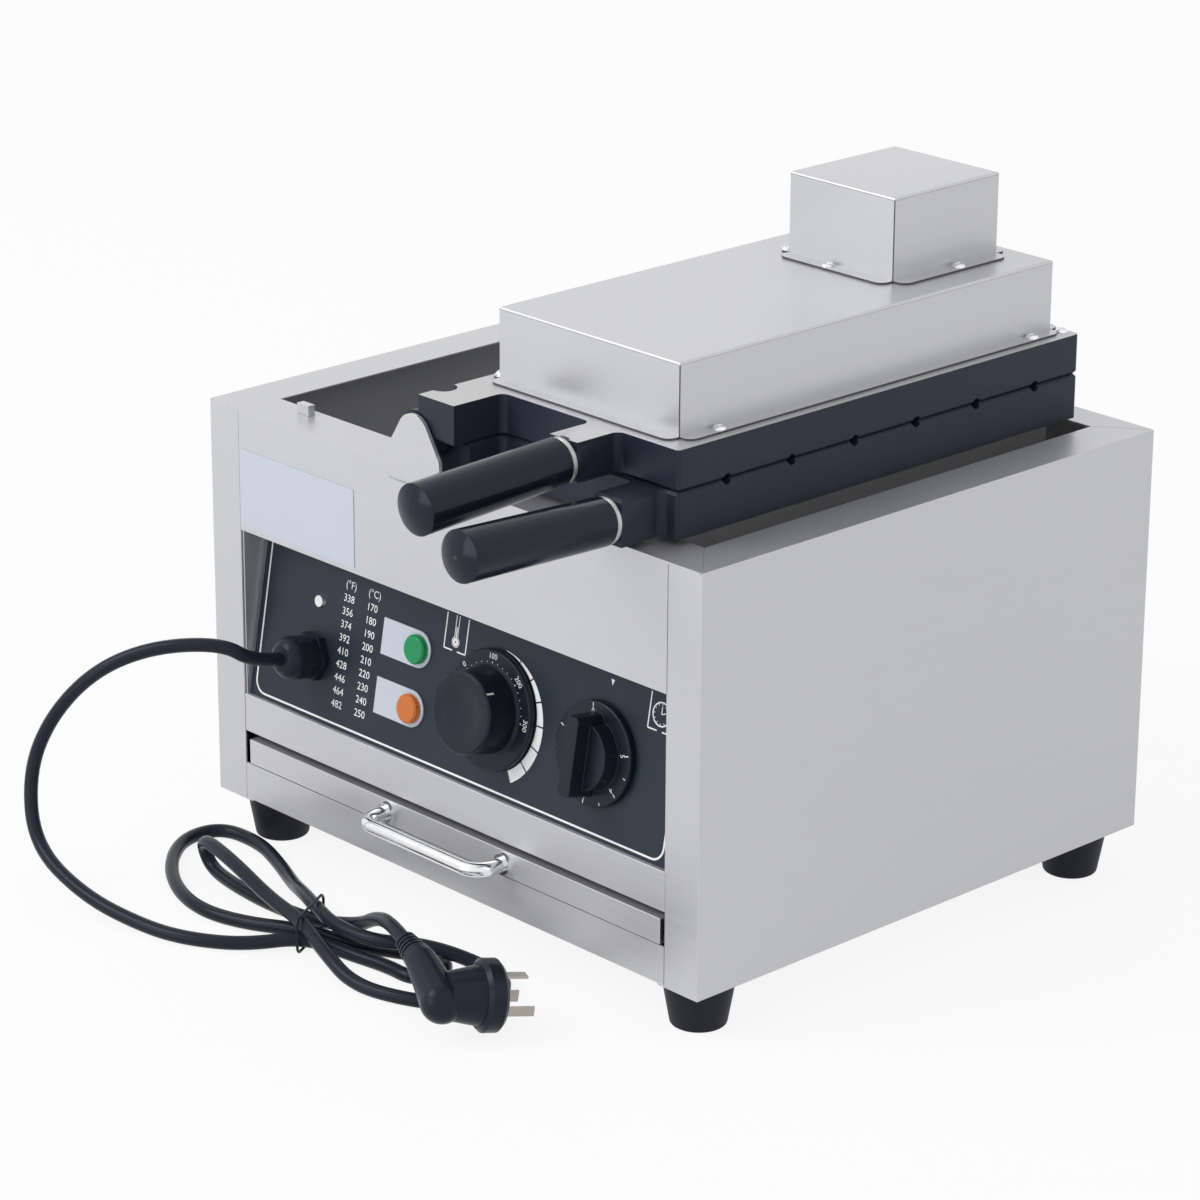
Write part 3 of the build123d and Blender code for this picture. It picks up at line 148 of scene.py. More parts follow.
class Finish:
    """A material's tree, with one method that adds any node."""

    def __init__(self, name):
        self.material = bpy.data.materials.new(name)
        self.material.use_nodes = True
        self.tree = self.material.node_tree
        self.shader = self.tree.nodes["Principled BSDF"]

    def node(self, kind, output=0, **sockets):
        made = self.tree.nodes.new(kind)
        for key, value in sockets.items():
            self.put(made.inputs[key.replace("_", " ")], value)
        return Sock(self.tree, made.outputs[output])

    def put(self, target, value):
        if isinstance(value, Sock):
            self.tree.links.new(value.socket, target)
        else:
            target.default_value = value

    def set(self, **sockets):
        for key, value in sockets.items():
            self.put(self.shader.inputs[key.replace("_", " ")], value)

    def place(self, scale=(1.0, 1.0, 1.0)):
        """Object coordinates, stretched by scale."""
        where = self.node("ShaderNodeTexCoord", output=3)
        return self.node("ShaderNodeMapping", Vector=where, Scale=scale)

    def tint(self, colour, low, high, amount):
        """A colour that runs from low to high times itself."""
        mix = self.tree.nodes.new("ShaderNodeMix")
        mix.data_type = "RGBA"
        self.put(mix.inputs[0], amount)
        mix.inputs[6].default_value = (*[c * low for c in colour], 1.0)
        mix.inputs[7].default_value = (*[min(1.0, c * high) for c in colour], 1.0)
        return Sock(self.tree, mix.outputs[2])

    def bump(self, height, distance, strength):
        return self.node("ShaderNodeBump", Height=height, Distance=distance, Strength=strength)


# The machine's materials by short name, made by the first of the operators below
FINISHES = {}


def steel_finish(name, colour, grain, rough, metallic=0.6):
    """Rolled sheet: fine grain along one way, with faint clouding."""
    made = Finish(name)
    streak = made.node("ShaderNodeTexNoise", Vector=made.place(grain), Scale=1.0, Detail=4.0)
    cloud = made.node("ShaderNodeTexNoise", Vector=made.place(), Scale=6.0, Detail=2.0)
    made.set(
        Base_Color=made.tint(colour, 0.95, 1.03, streak * 0.5 + cloud * 0.5),
        Roughness=rough + (streak - 0.5) * 0.12 + (cloud - 0.5) * 0.06,
        Metallic=metallic,
        Normal=made.bump(streak, 0.00002, 0.35),
    )
    return made.material


def moulded_finish(name, colour, rough, grain_scale, depth, shine=0.25, spread=(0.85, 1.35)):
    """Moulded or coated piece: fine texture with uneven sheen."""
    made = Finish(name)
    grain = made.node("ShaderNodeTexNoise", Vector=made.place(), Scale=grain_scale, Detail=3.0)
    wear = made.node("ShaderNodeTexNoise", Vector=made.place(), Scale=18.0, Detail=3.0)
    made.set(
        Base_Color=made.tint(colour, *spread, wear),
        Roughness=rough + (wear - 0.5) * 0.14,
        Specular_IOR_Level=shine,
        Specular_Tint=(0.80, 0.88, 1.0, 1.0),
        Normal=made.bump(grain, depth, 0.6),
    )
    return made.material


def lens_finish(name, colour):
    """Ribbed lamp lens that glows a little of itself."""
    made = Finish(name)
    ribs = made.node("ShaderNodeTexWave", Vector=made.place(), Scale=260.0)
    made.set(
        Base_Color=made.tint(colour, 0.8, 1.25, ribs),
        Roughness=0.18,
        Specular_IOR_Level=0.3,
        Coat_Weight=0.2,
        Emission_Color=(*colour, 1.0),
        Emission_Strength=0.15,
        Normal=made.bump(ribs, 0.0001, 0.5),
    )
    return made.material


class WAFFLE_OT_finishes(bpy.types.Operator):
    """Make every finish of the machine"""

    bl_idname = "waffle.finishes"
    bl_label = "Finishes"

    def execute(self, context):
        colours = context.scene.waffle_colours
        steel = tuple(colours.steel)
        FINISHES["sheet"] = steel_finish("satin_sheet", steel, (12.0, 12.0, 260.0), 0.36)
        FINISHES["cover"] = steel_finish("cover_sheet", steel, (260.0, 12.0, 260.0), 0.34)
        FINISHES["bright"] = steel_finish("bright_metal", (0.78, 0.79, 0.81), (90.0, 90.0, 90.0), 0.16, 1.0)
        # A darker copy of the sheet steel: painted shade for the parts that sit inside the machine
        FINISHES["shaded_inside"] = steel_finish("painted_shade_inside_sheet", (0.35, 0.355, 0.365), (12.0, 12.0, 90.0), 0.4)
        FINISHES["machined"] = steel_finish("milled_back", tuple(colours.machined), (300.0, 20.0, 60.0), 0.42)
        # Dark finish: real seams at the covers' folded corners, and painted shadow on the covers' and boxes'
        # cut flange edges
        FINISHES["seam"] = steel_finish("open_seam", (0.09, 0.09, 0.10), (60.0, 60.0, 60.0), 0.5)
        FINISHES["element"] = moulded_finish("element_sheath", (0.08, 0.08, 0.08), 0.5, 300.0, 0.00003)
        FINISHES["coating"] = moulded_finish(
            "non_stick_coat", tuple(colours.coating), 0.40, 900.0, 0.00006
        )
        FINISHES["grip"] = moulded_finish(
            "moulded_grip", tuple(colours.grip), 0.16, 700.0, 0.00001, shine=0.24
        )
        FINISHES["knob"] = moulded_finish("moulded_knob", tuple(colours.grip), 0.32, 900.0, 0.00003)
        FINISHES["panel"] = moulded_finish("panel_paint", tuple(colours.panel), 0.36, 600.0, 0.00002)
        FINISHES["rubber"] = moulded_finish("foot_rubber", tuple(colours.rubber), 0.55, 500.0, 0.00005)
        FINISHES["cord"] = moulded_finish(
            "cord_sheath", tuple(colours.cord), 0.28, 400.0, 0.00003, shine=0.16
        )
        FINISHES["print"] = moulded_finish("white_print", tuple(colours.print_white), 0.5, 800.0, 0.00001)
        FINISHES["plate"] = moulded_finish(
            "bare_plate", (0.54, 0.58, 0.655), 0.38, 300.0, 0.00001, spread=(0.98, 1.02)
        )
        FINISHES["block"] = moulded_finish("terminal_plastic", (0.7, 0.68, 0.6), 0.5, 300.0, 0.00003)
        FINISHES["heat"] = lens_finish("orange_lens", tuple(colours.heat))
        FINISHES["power"] = lens_finish("green_lens", tuple(colours.power))
        FINISHES["blade"] = steel_finish("plug_blade", (0.40, 0.37, 0.33), (60.0, 60.0, 60.0), 0.3, 1.0)
        return {"FINISHED"}


# CAD nodes that are dressed: node, finish, rounding of its edges as a share of the edge size
DRESS = (
    ("side_panel_left", "sheet", 1.0),
    ("side_panel_right", "sheet", 1.0),
    ("front_panel", "sheet", 1.0),
    ("rear_panel", "sheet", 0.0),
    ("base_pan", "sheet", 0.0),
    ("front_sill", "sheet", 1.0),
    ("drawer_front", "sheet", 1.0),
    ("drawer_pull", "bright", 0.0),
    ("front_bracket", "cover", 1.0),
    ("rear_bracket", "cover", 1.0),
    ("upper_cover", "cover", 0.2),
    ("upper_wiring_box", "cover", 0.2),
    ("lower_cover", "cover", 0.2),
    ("lower_wiring_box", "cover", 0.2),
    ("upper_plate", "coating", 1.5),
    ("lower_plate", "coating", 1.5),
    ("upper_grip", "grip", 1.0),
    ("lower_grip", "grip", 1.0),
    ("upper_handle_collar", "machined", 0.5),
    ("lower_handle_collar", "machined", 0.5),
    ("temperature_knob", "knob", 1.0),
    ("timer_knob", "knob", 2.0),
    ("foot_front_left", "rubber", 1.5),
    ("foot_front_right", "rubber", 1.5),
    ("foot_rear_left", "rubber", 1.5),
    ("foot_rear_right", "rubber", 1.5),
    ("gland_body", "cord", 1.0),
    ("gland_cap", "cord", 1.0),
    ("plug_body", "cord", 1.5),
    ("plug_pins", "blade", 0.8),
    ("heat_lamp", "heat", 1.0),
    ("power_lamp", "power", 1.0),
    ("rest_pads", "cover", 0.5),
)
# CAD nodes whose shape stays as it is, and their finish
KEPT = {
    "control_panel": "panel",
    "recess_cheeks": "sheet",
    "control_shield": "shaded_inside",
    "rating_plate": "plate",
    "lamp_plates": "plate",
    "drawer_tray": "shaded_inside",
    "drawer_runners": "shaded_inside",
    "foot_screws": "bright",
    "bracket_bolts": "bright",
    "panel_screw": "bright",
    "front_hinge_pin": "bright",
    "rear_hinge_pin": "bright",
    "upper_element": "element",
    "lower_element": "element",
    "upper_handle_rod": "bright",
    "lower_handle_rod": "bright",
    "temperature_spindle": "bright",
    "timer_spindle": "bright",
    "thermostat_body": "knob",
    "timer_body": "knob",
    "gland_locknut": "cord",
    "terminal_block": "block",
    "cord_tie": "knob",
}


def body_of(node):
    """The body that a CAD node rides on."""
    return frame["nodes"][node]["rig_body"]


# How a CAD mesh is tidied and marked, in metres and radians
SAME_POINT = 1e-6
FLAT_ANGLE = math.radians(0.5)
SHARP_ANGLE = math.radians(32)
CORNER_ANGLE = math.radians(60)
SEAM_LEAST = 0.02
SEAM_WIDTH = 0.0005
# CUT_EDGE: upright faces lower than this are flange edges that get painted shadow
CUT_EDGE = 0.0018
SEAT_REACH = 0.0002
# How much of a unit direction points up when it counts as level, upright or facing up
LEVEL = 0.1
UPRIGHT = 0.999
FACING_UP = 0.98


def open_seams(tidy):
    """Cut the upright corners of a folded cover as narrow dark seams, and paint shadow on its thin cut flange
    edges.
    """
    # Thin upright flange edges get the dark finish as painted shadow, standing in for the dark line under
    # each flange
    for face in tidy.faces:
        heights = [vert.co.z for vert in face.verts]
        if abs(face.normal.z) < LEVEL and max(heights) - min(heights) < CUT_EDGE:
            face.material_index = 1
    corners = []
    for edge in tidy.edges:
        run = edge.verts[1].co - edge.verts[0].co
        upright = run.length > SEAM_LEAST and abs(run.z) > UPRIGHT * run.length
        if upright and len(edge.link_faces) == 2 and edge.calc_face_angle_signed() > CORNER_ANGLE:
            corners.append(edge)
    bmesh.ops.bevel(
        tidy, geom=corners, offset=SEAM_WIDTH, offset_type="OFFSET", segments=1, affect="EDGES", material=1
    )


def milled_back(tidy):
    """Mark the upper plate's back, where the cover seats, as bare milled metal."""
    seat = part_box("upper_cover")[0].z
    for face in tidy.faces:
        if face.normal.z > FACING_UP and abs(face.calc_center_median().z - seat) < SEAT_REACH:
            face.material_index = 1


# Pieces with a second finish on some of their faces: its name, and what marks the faces
SECOND_FINISH = {
    "upper_plate": ("machined", milled_back),
    "upper_cover": ("seam", open_seams),
    "upper_wiring_box": ("seam", open_seams),
    "lower_cover": ("seam", open_seams),
    "lower_wiring_box": ("seam", open_seams),
}


def rounded_copy(node, finish, width):
    """A copy of a CAD node with merged faces, smooth curves and slightly rounded edges."""
    mesh = frame["nodes"][node].data.copy()
    mesh.materials.clear()
    mesh.materials.append(FINISHES[finish])
    tidy = bmesh.new()
    tidy.from_mesh(mesh)
    bmesh.ops.remove_doubles(tidy, verts=tidy.verts, dist=SAME_POINT)
    bmesh.ops.dissolve_limit(
        tidy, angle_limit=FLAT_ANGLE, verts=tidy.verts, edges=tidy.edges, use_dissolve_boundaries=False
    )
    if node in SECOND_FINISH:
        second, mark = SECOND_FINISH[node]
        mesh.materials.append(FINISHES[second])
        mark(tidy)
    for face in tidy.faces:
        face.smooth = True
    for edge in tidy.edges:
        edge.smooth = len(edge.link_faces) != 2 or edge.calc_face_angle(0.0) < SHARP_ANGLE
    tidy.to_mesh(mesh)
    tidy.free()
    piece = bpy.data.objects.new(f"{node}_dressed", mesh)
    bpy.context.scene.collection.objects.link(piece)
    if width > 0:
        bevel = piece.modifiers.new("rounding", "BEVEL")
        bevel.width = width
        bevel.segments = 2
        bevel.limit_method = "ANGLE"
        bevel.angle_limit = SHARP_ANGLE
        bevel.harden_normals = True
        bevel.use_clamp_overlap = True
    graph = bpy.context.evaluated_depsgraph_get()
    finished = bpy.data.meshes.new_from_object(piece.evaluated_get(graph))
    piece.modifiers.clear()
    piece.data = finished
    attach(piece, body_of(node))
    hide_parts(node)


class WAFFLE_OT_body(bpy.types.Operator):
    """Dress the cabinet, moulds, handles, knobs and drawer"""

    bl_idname = "waffle.body"
    bl_label = "Machine"

    def execute(self, context):
        edge = context.scene.waffle_sizes.edge
        for node, finish, share in DRESS:
            rounded_copy(node, finish, edge * share)
        for node, finish in KEPT.items():
            piece = frame["nodes"][node]
            for place in piece.material_slots:
                place.material = FINISHES[finish]
        return {"FINISHED"}


# Route of the cord: the control points of its line, in metres
CORD_ROUTE = (
    (-0.1225, -0.13395, 0.13407), (-0.1225, -0.15365, 0.13752), (-0.1305, -0.1685, 0.1499),
    (-0.1632, -0.1925, 0.1451), (-0.1896, -0.2145, 0.1289), (-0.214, -0.2285, 0.097),
    (-0.225, -0.237, 0.062), (-0.211, -0.245, 0.024), (-0.158, -0.25, 0.011),
    (-0.112, -0.2415, 0.0045), (-0.084, -0.2325, 0.004), (-0.058, -0.215, 0.0043),
    (-0.038, -0.1885, 0.0074), (-0.012, -0.1805, 0.0042), (0.016, -0.175, 0.004),
    (0.038, -0.176, 0.004), (0.046, -0.159, 0.004), (0.03, -0.145, 0.004),
    (0.006, -0.159, 0.004), (-0.018, -0.1715, 0.0044), (-0.046, -0.183, 0.0074),
    (-0.08, -0.197, 0.0043), (-0.112, -0.204, 0.004), (-0.146, -0.195, 0.004),
    (-0.178, -0.174, 0.004), (-0.199, -0.147, 0.004), (-0.196, -0.121, 0.004),
    (-0.163, -0.119, 0.004), (-0.132, -0.13, 0.004), (-0.102, -0.144, 0.005),
    (-0.076, -0.159, 0.0135), (-0.0465, -0.172, 0.0166), (-0.024, -0.179, 0.0164),
    (0.006, -0.177, 0.016), (0.032, -0.158, 0.0168), (0.06, -0.1365, 0.005),
    (0.084, -0.146, 0.004), (0.084, -0.176, 0.004), (0.057, -0.195, 0.004),
    (0.022, -0.2045, 0.004), (-0.006, -0.2005, 0.012), (-0.04, -0.189, 0.0168),
    (-0.074, -0.184, 0.0174), (-0.118, -0.176, 0.0244), (-0.158, -0.1665, 0.024),
    (-0.1568, -0.1615, 0.004), (-0.1285, -0.1677, 0.004), (-0.09, -0.1705, 0.0042),
    (-0.051, -0.17, 0.0069), (-0.022, -0.163, 0.012), (0.002, -0.171, 0.027),
    (0.03407, -0.1879, 0.04052), (0.053, -0.1933, 0.037),
)


class WAFFLE_OT_cord(bpy.types.Operator):
    """Lay the mains cord from the gland to its plug"""

    bl_idname = "waffle.cord"
    bl_label = "Cord"

    def execute(self, context):
        diameter = context.scene.waffle_sizes.cord
        line = bpy.data.curves.new("mains_cord", "CURVE")
        line.dimensions = "3D"
        line.bevel_depth = diameter / 2
        line.bevel_resolution = 4
        line.use_fill_caps = True
        line.resolution_u = 8
        spline = line.splines.new("NURBS")
        spline.points.add(len(CORD_ROUTE) - 1)
        for point, place in zip(spline.points, CORD_ROUTE):
            point.co = (*place, 1.0)
        spline.order_u = 3
        spline.use_endpoint_u = True
        piece = bpy.data.objects.new("mains_cord", line)
        context.scene.collection.objects.link(piece)
        line.materials.append(FINISHES["cord"])
        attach(piece, "cabinet")
        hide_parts("cord")
        return {"FINISHED"}


class Flat:
    """Printed shapes on one plane, gathered into a single mesh."""

    def __init__(self, origin, across, up, out):
        self.matrix = Matrix.Identity(4)
        for i, axis in enumerate((across, up, out)):
            for row in range(3):
                self.matrix[row][i] = axis[row]
        self.matrix.translation = origin
        self.shapes = bmesh.new()

    def polygon(self, corners):
        self.shapes.faces.new([self.shapes.verts.new((x, y, 0.0)) for x, y in corners])

    def strip(self, inner, outer):
        """A band between two lines that have the same number of points."""
        for a, b, c, d in zip(inner, inner[1:], outer[1:], outer):
            self.polygon((a, d, c, b) if self.turns_left(a, d, c) else (a, b, c, d))

    @staticmethod
    def turns_left(a, b, c):
        return (b[0] - a[0]) * (c[1] - a[1]) - (b[1] - a[1]) * (c[0] - a[0]) > 0

    def arc(self, x, y, radius, width, start, end, steps=24):
        angles = [math.radians(start + (end - start) * i / steps) for i in range(steps + 1)]
        near, far = radius - width / 2, radius + width / 2
        self.strip(
            [(x + near * math.cos(a), y + near * math.sin(a)) for a in angles],
            [(x + far * math.cos(a), y + far * math.sin(a)) for a in angles],
        )

    def line(self, x0, y0, x1, y1, width):
        run = Vector((x1 - x0, y1 - y0)).normalized() * width / 2
        self.polygon(
            (
                (x0 + run.y, y0 - run.x),
                (x1 + run.y, y1 - run.x),
                (x1 - run.y, y1 + run.x),
                (x0 - run.y, y0 + run.x),
            )
        )

    def frame_line(self, x0, y0, x1, y1, corner, width):
        """A rounded rectangle drawn as a line."""
        self.line(x0 + corner, y0, x1 - corner, y0, width)
        self.line(x0 + corner, y1, x1 - corner, y1, width)
        self.line(x0, y0 + corner, x0, y1 - corner, width)
        self.line(x1, y0 + corner, x1, y1 - corner, width)
        for x, y, start in (
            (x1 - corner, y1 - corner, 0),
            (x0 + corner, y1 - corner, 90),
            (x0 + corner, y0 + corner, 180),
            (x1 - corner, y0 + corner, 270),
        ):
            self.arc(x, y, corner, width, start, start + 90, 8)

    def open_frame(self, x, foot, head, half, line):
        """A frame with no top, its lower edge parted in the middle."""
        gap = 0.0020
        self.line(x - half, foot, x - half, head, line)
        self.line(x + half, foot, x + half, head, line)
        self.line(x - half, foot, x - gap, foot, line)
        self.line(x + gap, foot, x + half, foot, line)

    def radial_line(self, near, far, degrees, width):
        turn = math.radians(degrees)
        across, rise = math.cos(turn), math.sin(turn)
        self.line(near * across, near * rise, far * across, far * rise, width)

    def radial_number(self, number, radius, degrees, size):
        turn = math.radians(degrees)
        self.write(number, radius * math.cos(turn), radius * math.sin(turn), size, turn - math.pi / 2)

    def dot(self, radius, degrees, size):
        turn = math.radians(degrees)
        x, y = radius * math.cos(turn), radius * math.sin(turn)
        corners = [math.pi * i / 4 for i in range(8)]
        self.polygon([(x + size * math.cos(a), y + size * math.sin(a)) for a in corners])

    def write(self, words, x, y, size, turn=0.0):
        """Plain numbers, as a flat mesh."""
        text = bpy.data.curves.new("numbers", "FONT")
        text.body = words
        text.size = size
        text.align_x = "CENTER"
        text.align_y = "CENTER"
        text.resolution_u = 3
        maker = bpy.data.objects.new("numbers", text)
        bpy.context.scene.collection.objects.link(maker)
        graph = bpy.context.evaluated_depsgraph_get()
        letters = bpy.data.meshes.new_from_object(maker.evaluated_get(graph))
        letters.transform(Matrix.Translation((x, y, 0.0)) @ Matrix.Rotation(turn, 4, "Z"))
        self.shapes.from_mesh(letters)
        bpy.data.objects.remove(maker)
        bpy.data.curves.remove(text)
        bpy.data.meshes.remove(letters)

    def finish(self, name, body, finish, slot):
        mesh = bpy.data.meshes.new(name)
        for face in self.shapes.faces:
            face.normal_update()
            if face.normal.z < 0:
                face.normal_flip()
        self.shapes.to_mesh(mesh)
        self.shapes.free()
        mesh.transform(self.matrix)
        mesh.materials.append(FINISHES[finish])
        piece = bpy.data.objects.new(name, mesh)
        bpy.context.scene.collection.objects.link(piece)
        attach(piece, body)


# Places on the control panel in metres: across from its middle, and up its slope
TEMPERATURE_KNOB = (0.0286, 0.0469)
TIMER_KNOB = (0.1117, 0.0461)
TIMER_MARK = ((0.1143, 0.0880), (0.1158, 0.0846), (0.1170, 0.0880))
THERMOMETER = (-0.0080, 0.0750)
CLOCK = (0.1541, 0.0795)
BORDER = (-0.169, 0.0025, 0.169, 0.0985)
BORDER_CORNER = 0.008
HEADINGS = (("(°F)", -0.0978), ("(°C)", -0.0776))
HEADING_ROW = 0.0836
FAHRENHEIT_COLUMN = -0.0985
CELSIUS_COLUMN = -0.0785
TOP_ROW = 0.0756
LOW_ROW = 0.0139
PRINT_RISE = 0.00012


def panel_sheet(x=0.0, up=0.0, height=PRINT_RISE):
    """A printing plane on the control panel, centred there and that far out of it."""
    middle = PANEL_FOOT + Vector((x, 0.0, 0.0)) + PANEL_UP * up + PANEL_OUT * height
    return Flat(middle, Vector((1.0, 0.0, 0.0)), PANEL_UP, PANEL_OUT)


def heat_scale(sheet, x, up):
    """A band round the temperature dial that widens clockwise, parted into even fields."""
    fields, first, sweep, gap = 7, 83.0, -145.0, 1.4
    inner, thinnest, widest, swell = 0.0344, 0.0003, 0.0066, 1.25
    steps = 8
    for field in range(fields):
        start = first + sweep * field / fields
        end = first + sweep * (field + 1) / fields + gap
        near, far = [], []
        for i in range(steps + 1):
            angle = start + (end - start) * i / steps
            share = (angle - first) / sweep
            outer = inner + thinnest + widest * math.sin(share * math.pi / 2) ** swell
            turn = math.radians(angle)
            near.append((x + inner * math.cos(turn), up + inner * math.sin(turn)))
            far.append((x + outer * math.cos(turn), up + outer * math.sin(turn)))
        sheet.strip(near, far)


def thermometer(sheet, x, up, line):
    """A framed thermometer, open where the panel runs under the recess's edge."""
    head, half_tube, thin = up + 0.0150, 0.0012, 0.0005
    sheet.open_frame(x, up - 0.0051, head, 0.0088, line)
    sheet.arc(x, up, 0.0014, 0.0016, 0, 360)
    sheet.arc(x, up, 0.0028, thin, 115, 425)
    for side in (x - half_tube, x + half_tube):
        sheet.line(side, up + 0.0025, side, head, thin)
    sheet.line(x, up + 0.0020, x, up + 0.0085, 0.0008)


def clock(sheet, x, up, line):
    """A framed clock face with two hands and hour marks."""
    rim, near, far, hand = 0.0064, 0.0048, 0.0058, 0.0006
    sheet.open_frame(x, up - 0.0092, up + 0.0105, 0.0089, line)
    sheet.arc(x, up, rim, 0.0008, 0, 360)
    for hour in range(12):
        turn = math.radians(30 * hour)
        across, rise = math.cos(turn), math.sin(turn)
        sheet.line(x + near * across, up + near * rise, x + far * across, up + far * rise, 0.0004)
    sheet.line(x, up, x, up + 0.0042, hand)
    sheet.line(x, up, x + 0.0030, up + 0.0012, hand)


class WAFFLE_OT_panel_print(bpy.types.Operator):
    """Print the control panel's border, scales and plain numbers"""

    bl_idname = "waffle.panel_print"
    bl_label = "Panel printing"

    def execute(self, context):
        sizes = context.scene.waffle_sizes
        line, digit = sizes.line, sizes.digit
        sheet = panel_sheet()
        sheet.frame_line(*BORDER, BORDER_CORNER, 1.5 * line)
        rows, coolest, step = 9, 170, 10
        for i in range(rows):
            up = TOP_ROW + (LOW_ROW - TOP_ROW) * i / (rows - 1)
            celsius = coolest + step * i
            sheet.write(str(round(celsius * 1.8 + 32)), FAHRENHEIT_COLUMN, up, digit)
            sheet.write(str(celsius), CELSIUS_COLUMN, up, digit)
        for heading, x in HEADINGS:
            sheet.write(heading, x, HEADING_ROW, digit)
        heat_scale(sheet, *TEMPERATURE_KNOB)
        thermometer(sheet, *THERMOMETER, line)
        clock(sheet, *CLOCK, line)
        sheet.polygon(TIMER_MARK)
        sheet.finish("panel_print", "cabinet", "print", "white_plate")
        return {"FINISHED"}


# The knobs' printed faces in metres: out of the panel, and round the temperature knob
DIAL_FACE = 0.00472
KNOB_HEIGHT = 0.0248
KNOB_RIM = 0.0231
KNOB_TAPER = 0.045
SIDE_RISE = 0.00015


def knob_side(x, up, degrees):
    """A printing plane on the temperature knob's side wall, with its middle at the edge of the face."""
    turn = math.radians(degrees)
    radial = Vector((math.cos(turn), 0.0, 0.0)) + PANEL_UP * math.sin(turn)
    tangent = Vector((-math.sin(turn), 0.0, 0.0)) + PANEL_UP * math.cos(turn)
    face = PANEL_FOOT + Vector((x, 0.0, 0.0)) + PANEL_UP * up + PANEL_OUT * KNOB_HEIGHT
    rise = (PANEL_OUT - radial * KNOB_TAPER).normalized()
    return Flat(face + radial * (KNOB_RIM + SIDE_RISE), tangent, rise, radial)


class WAFFLE_OT_dials(bpy.types.Operator):
    """Print the two knobs' dials"""

    bl_idname = "waffle.dials"
    bl_label = "Dial printing"

    def execute(self, context):
        size = 0.0046
        sheet = panel_sheet(*TEMPERATURE_KNOB, DIAL_FACE)
        number_ring, dot_ring, first, step, dots = 0.0300, 0.0267, 138.5, 46.5, 5
        for i, number in enumerate(("0", "100", "200", "300")):
            sheet.radial_number(number, number_ring, first - step * i, size)
            sheet.dot(dot_ring, first - step * i, 0.0005)
        for i in range(3 * dots + 1):
            sheet.dot(dot_ring, first - step * i / dots, 0.0003)
        sheet.finish("temperature_dial_print", "temperature_knob", "print", "white_plate")
        pointer, head, foot, width = 41.0, -0.0012, -0.0060, 0.0011
        sheet = knob_side(*TEMPERATURE_KNOB, pointer)
        sheet.line(0.0, head, 0.0, foot, width)
        sheet.finish("temperature_pointer", "temperature_knob", "print", "white_plate")
        sheet = panel_sheet(*TIMER_KNOB, DIAL_FACE)
        number_ring, long_tick, short_tick, rim, line = 0.0232, 0.0255, 0.0262, 0.0278, 0.0006
        zero, first, step, ticks, longest = 98.0, 13.0, 26.8, 9, 5
        sheet.radial_number("0", number_ring, zero, size)
        sheet.radial_line(long_tick, rim, zero, line)
        for i in range(ticks):
            numbered = i % 2 == 0
            angle = first - step * i
            sheet.radial_line(long_tick if numbered else short_tick, rim, angle, line)
            if numbered:
                sheet.radial_number(str(longest - i // 2), number_ring, angle, size)
        sheet.finish("timer_dial_print", "timer_knob", "print", "white_plate")
        return {"FINISHED"}


# The screw heads: how flat they are, the cross in them, and where the upper mould's extra bolt
# stands from its cover's rear right corner
HEAD_PRESS = 0.58
SLOT_LENGTH = 0.0046
SLOT_WIDTH = 0.0009
SLOT_RISE = 0.0024
BOLT_INSET_X = 0.0037
BOLT_INSET_Y = 0.0038


def screw_tree(name, finish):
    """Geometry Nodes: a pan head with a cross on every point."""
    tree = bpy.data.node_groups.new(name, "GeometryNodeTree")
    tree.interface.new_socket("Geometry", in_out="INPUT", socket_type="NodeSocketGeometry")
    radius = tree.interface.new_socket("Head radius", in_out="INPUT", socket_type="NodeSocketFloat")
    tree.interface.new_socket("Geometry", in_out="OUTPUT", socket_type="NodeSocketGeometry")
    add = tree.nodes.new
    link = tree.links.new
    given, result = add("NodeGroupInput"), add("NodeGroupOutput")
    dome = add("GeometryNodeMeshUVSphere")
    dome.inputs["Segments"].default_value = 24
    dome.inputs["Rings"].default_value = 12
    link(given.outputs["Head radius"], dome.inputs["Radius"])
    press = add("GeometryNodeTransform")
    press.inputs["Scale"].default_value = (1.0, 1.0, HEAD_PRESS)
    link(dome.outputs["Mesh"], press.inputs["Geometry"])
    cutters = []
    for size in ((SLOT_LENGTH, SLOT_WIDTH, SLOT_RISE), (SLOT_WIDTH, SLOT_LENGTH, SLOT_RISE)):
        cutter = add("GeometryNodeMeshCube")
        cutter.inputs["Size"].default_value = size
        lift = add("GeometryNodeTransform")
        lift.inputs["Translation"].default_value = (0.0, 0.0, SLOT_RISE)
        link(cutter.outputs["Mesh"], lift.inputs["Geometry"])
        cutters.append(lift)
    cross = add("GeometryNodeMeshBoolean")
    cross.operation = "DIFFERENCE"
    cross.solver = "EXACT"
    link(press.outputs["Geometry"], cross.inputs["Mesh 1"])
    for lift in cutters:
        link(lift.outputs["Geometry"], cross.inputs["Mesh 2"])
    spread = add("GeometryNodeInstanceOnPoints")
    link(given.outputs["Geometry"], spread.inputs["Points"])
    link(cross.outputs["Mesh"], spread.inputs["Instance"])
    real = add("GeometryNodeRealizeInstances")
    paint = add("GeometryNodeSetMaterial")
    paint.inputs["Material"].default_value = finish
    link(spread.outputs["Instances"], real.inputs["Geometry"])
    link(real.outputs["Geometry"], paint.inputs["Geometry"])
    link(paint.outputs["Geometry"], result.inputs["Geometry"])
    return tree, radius.identifier


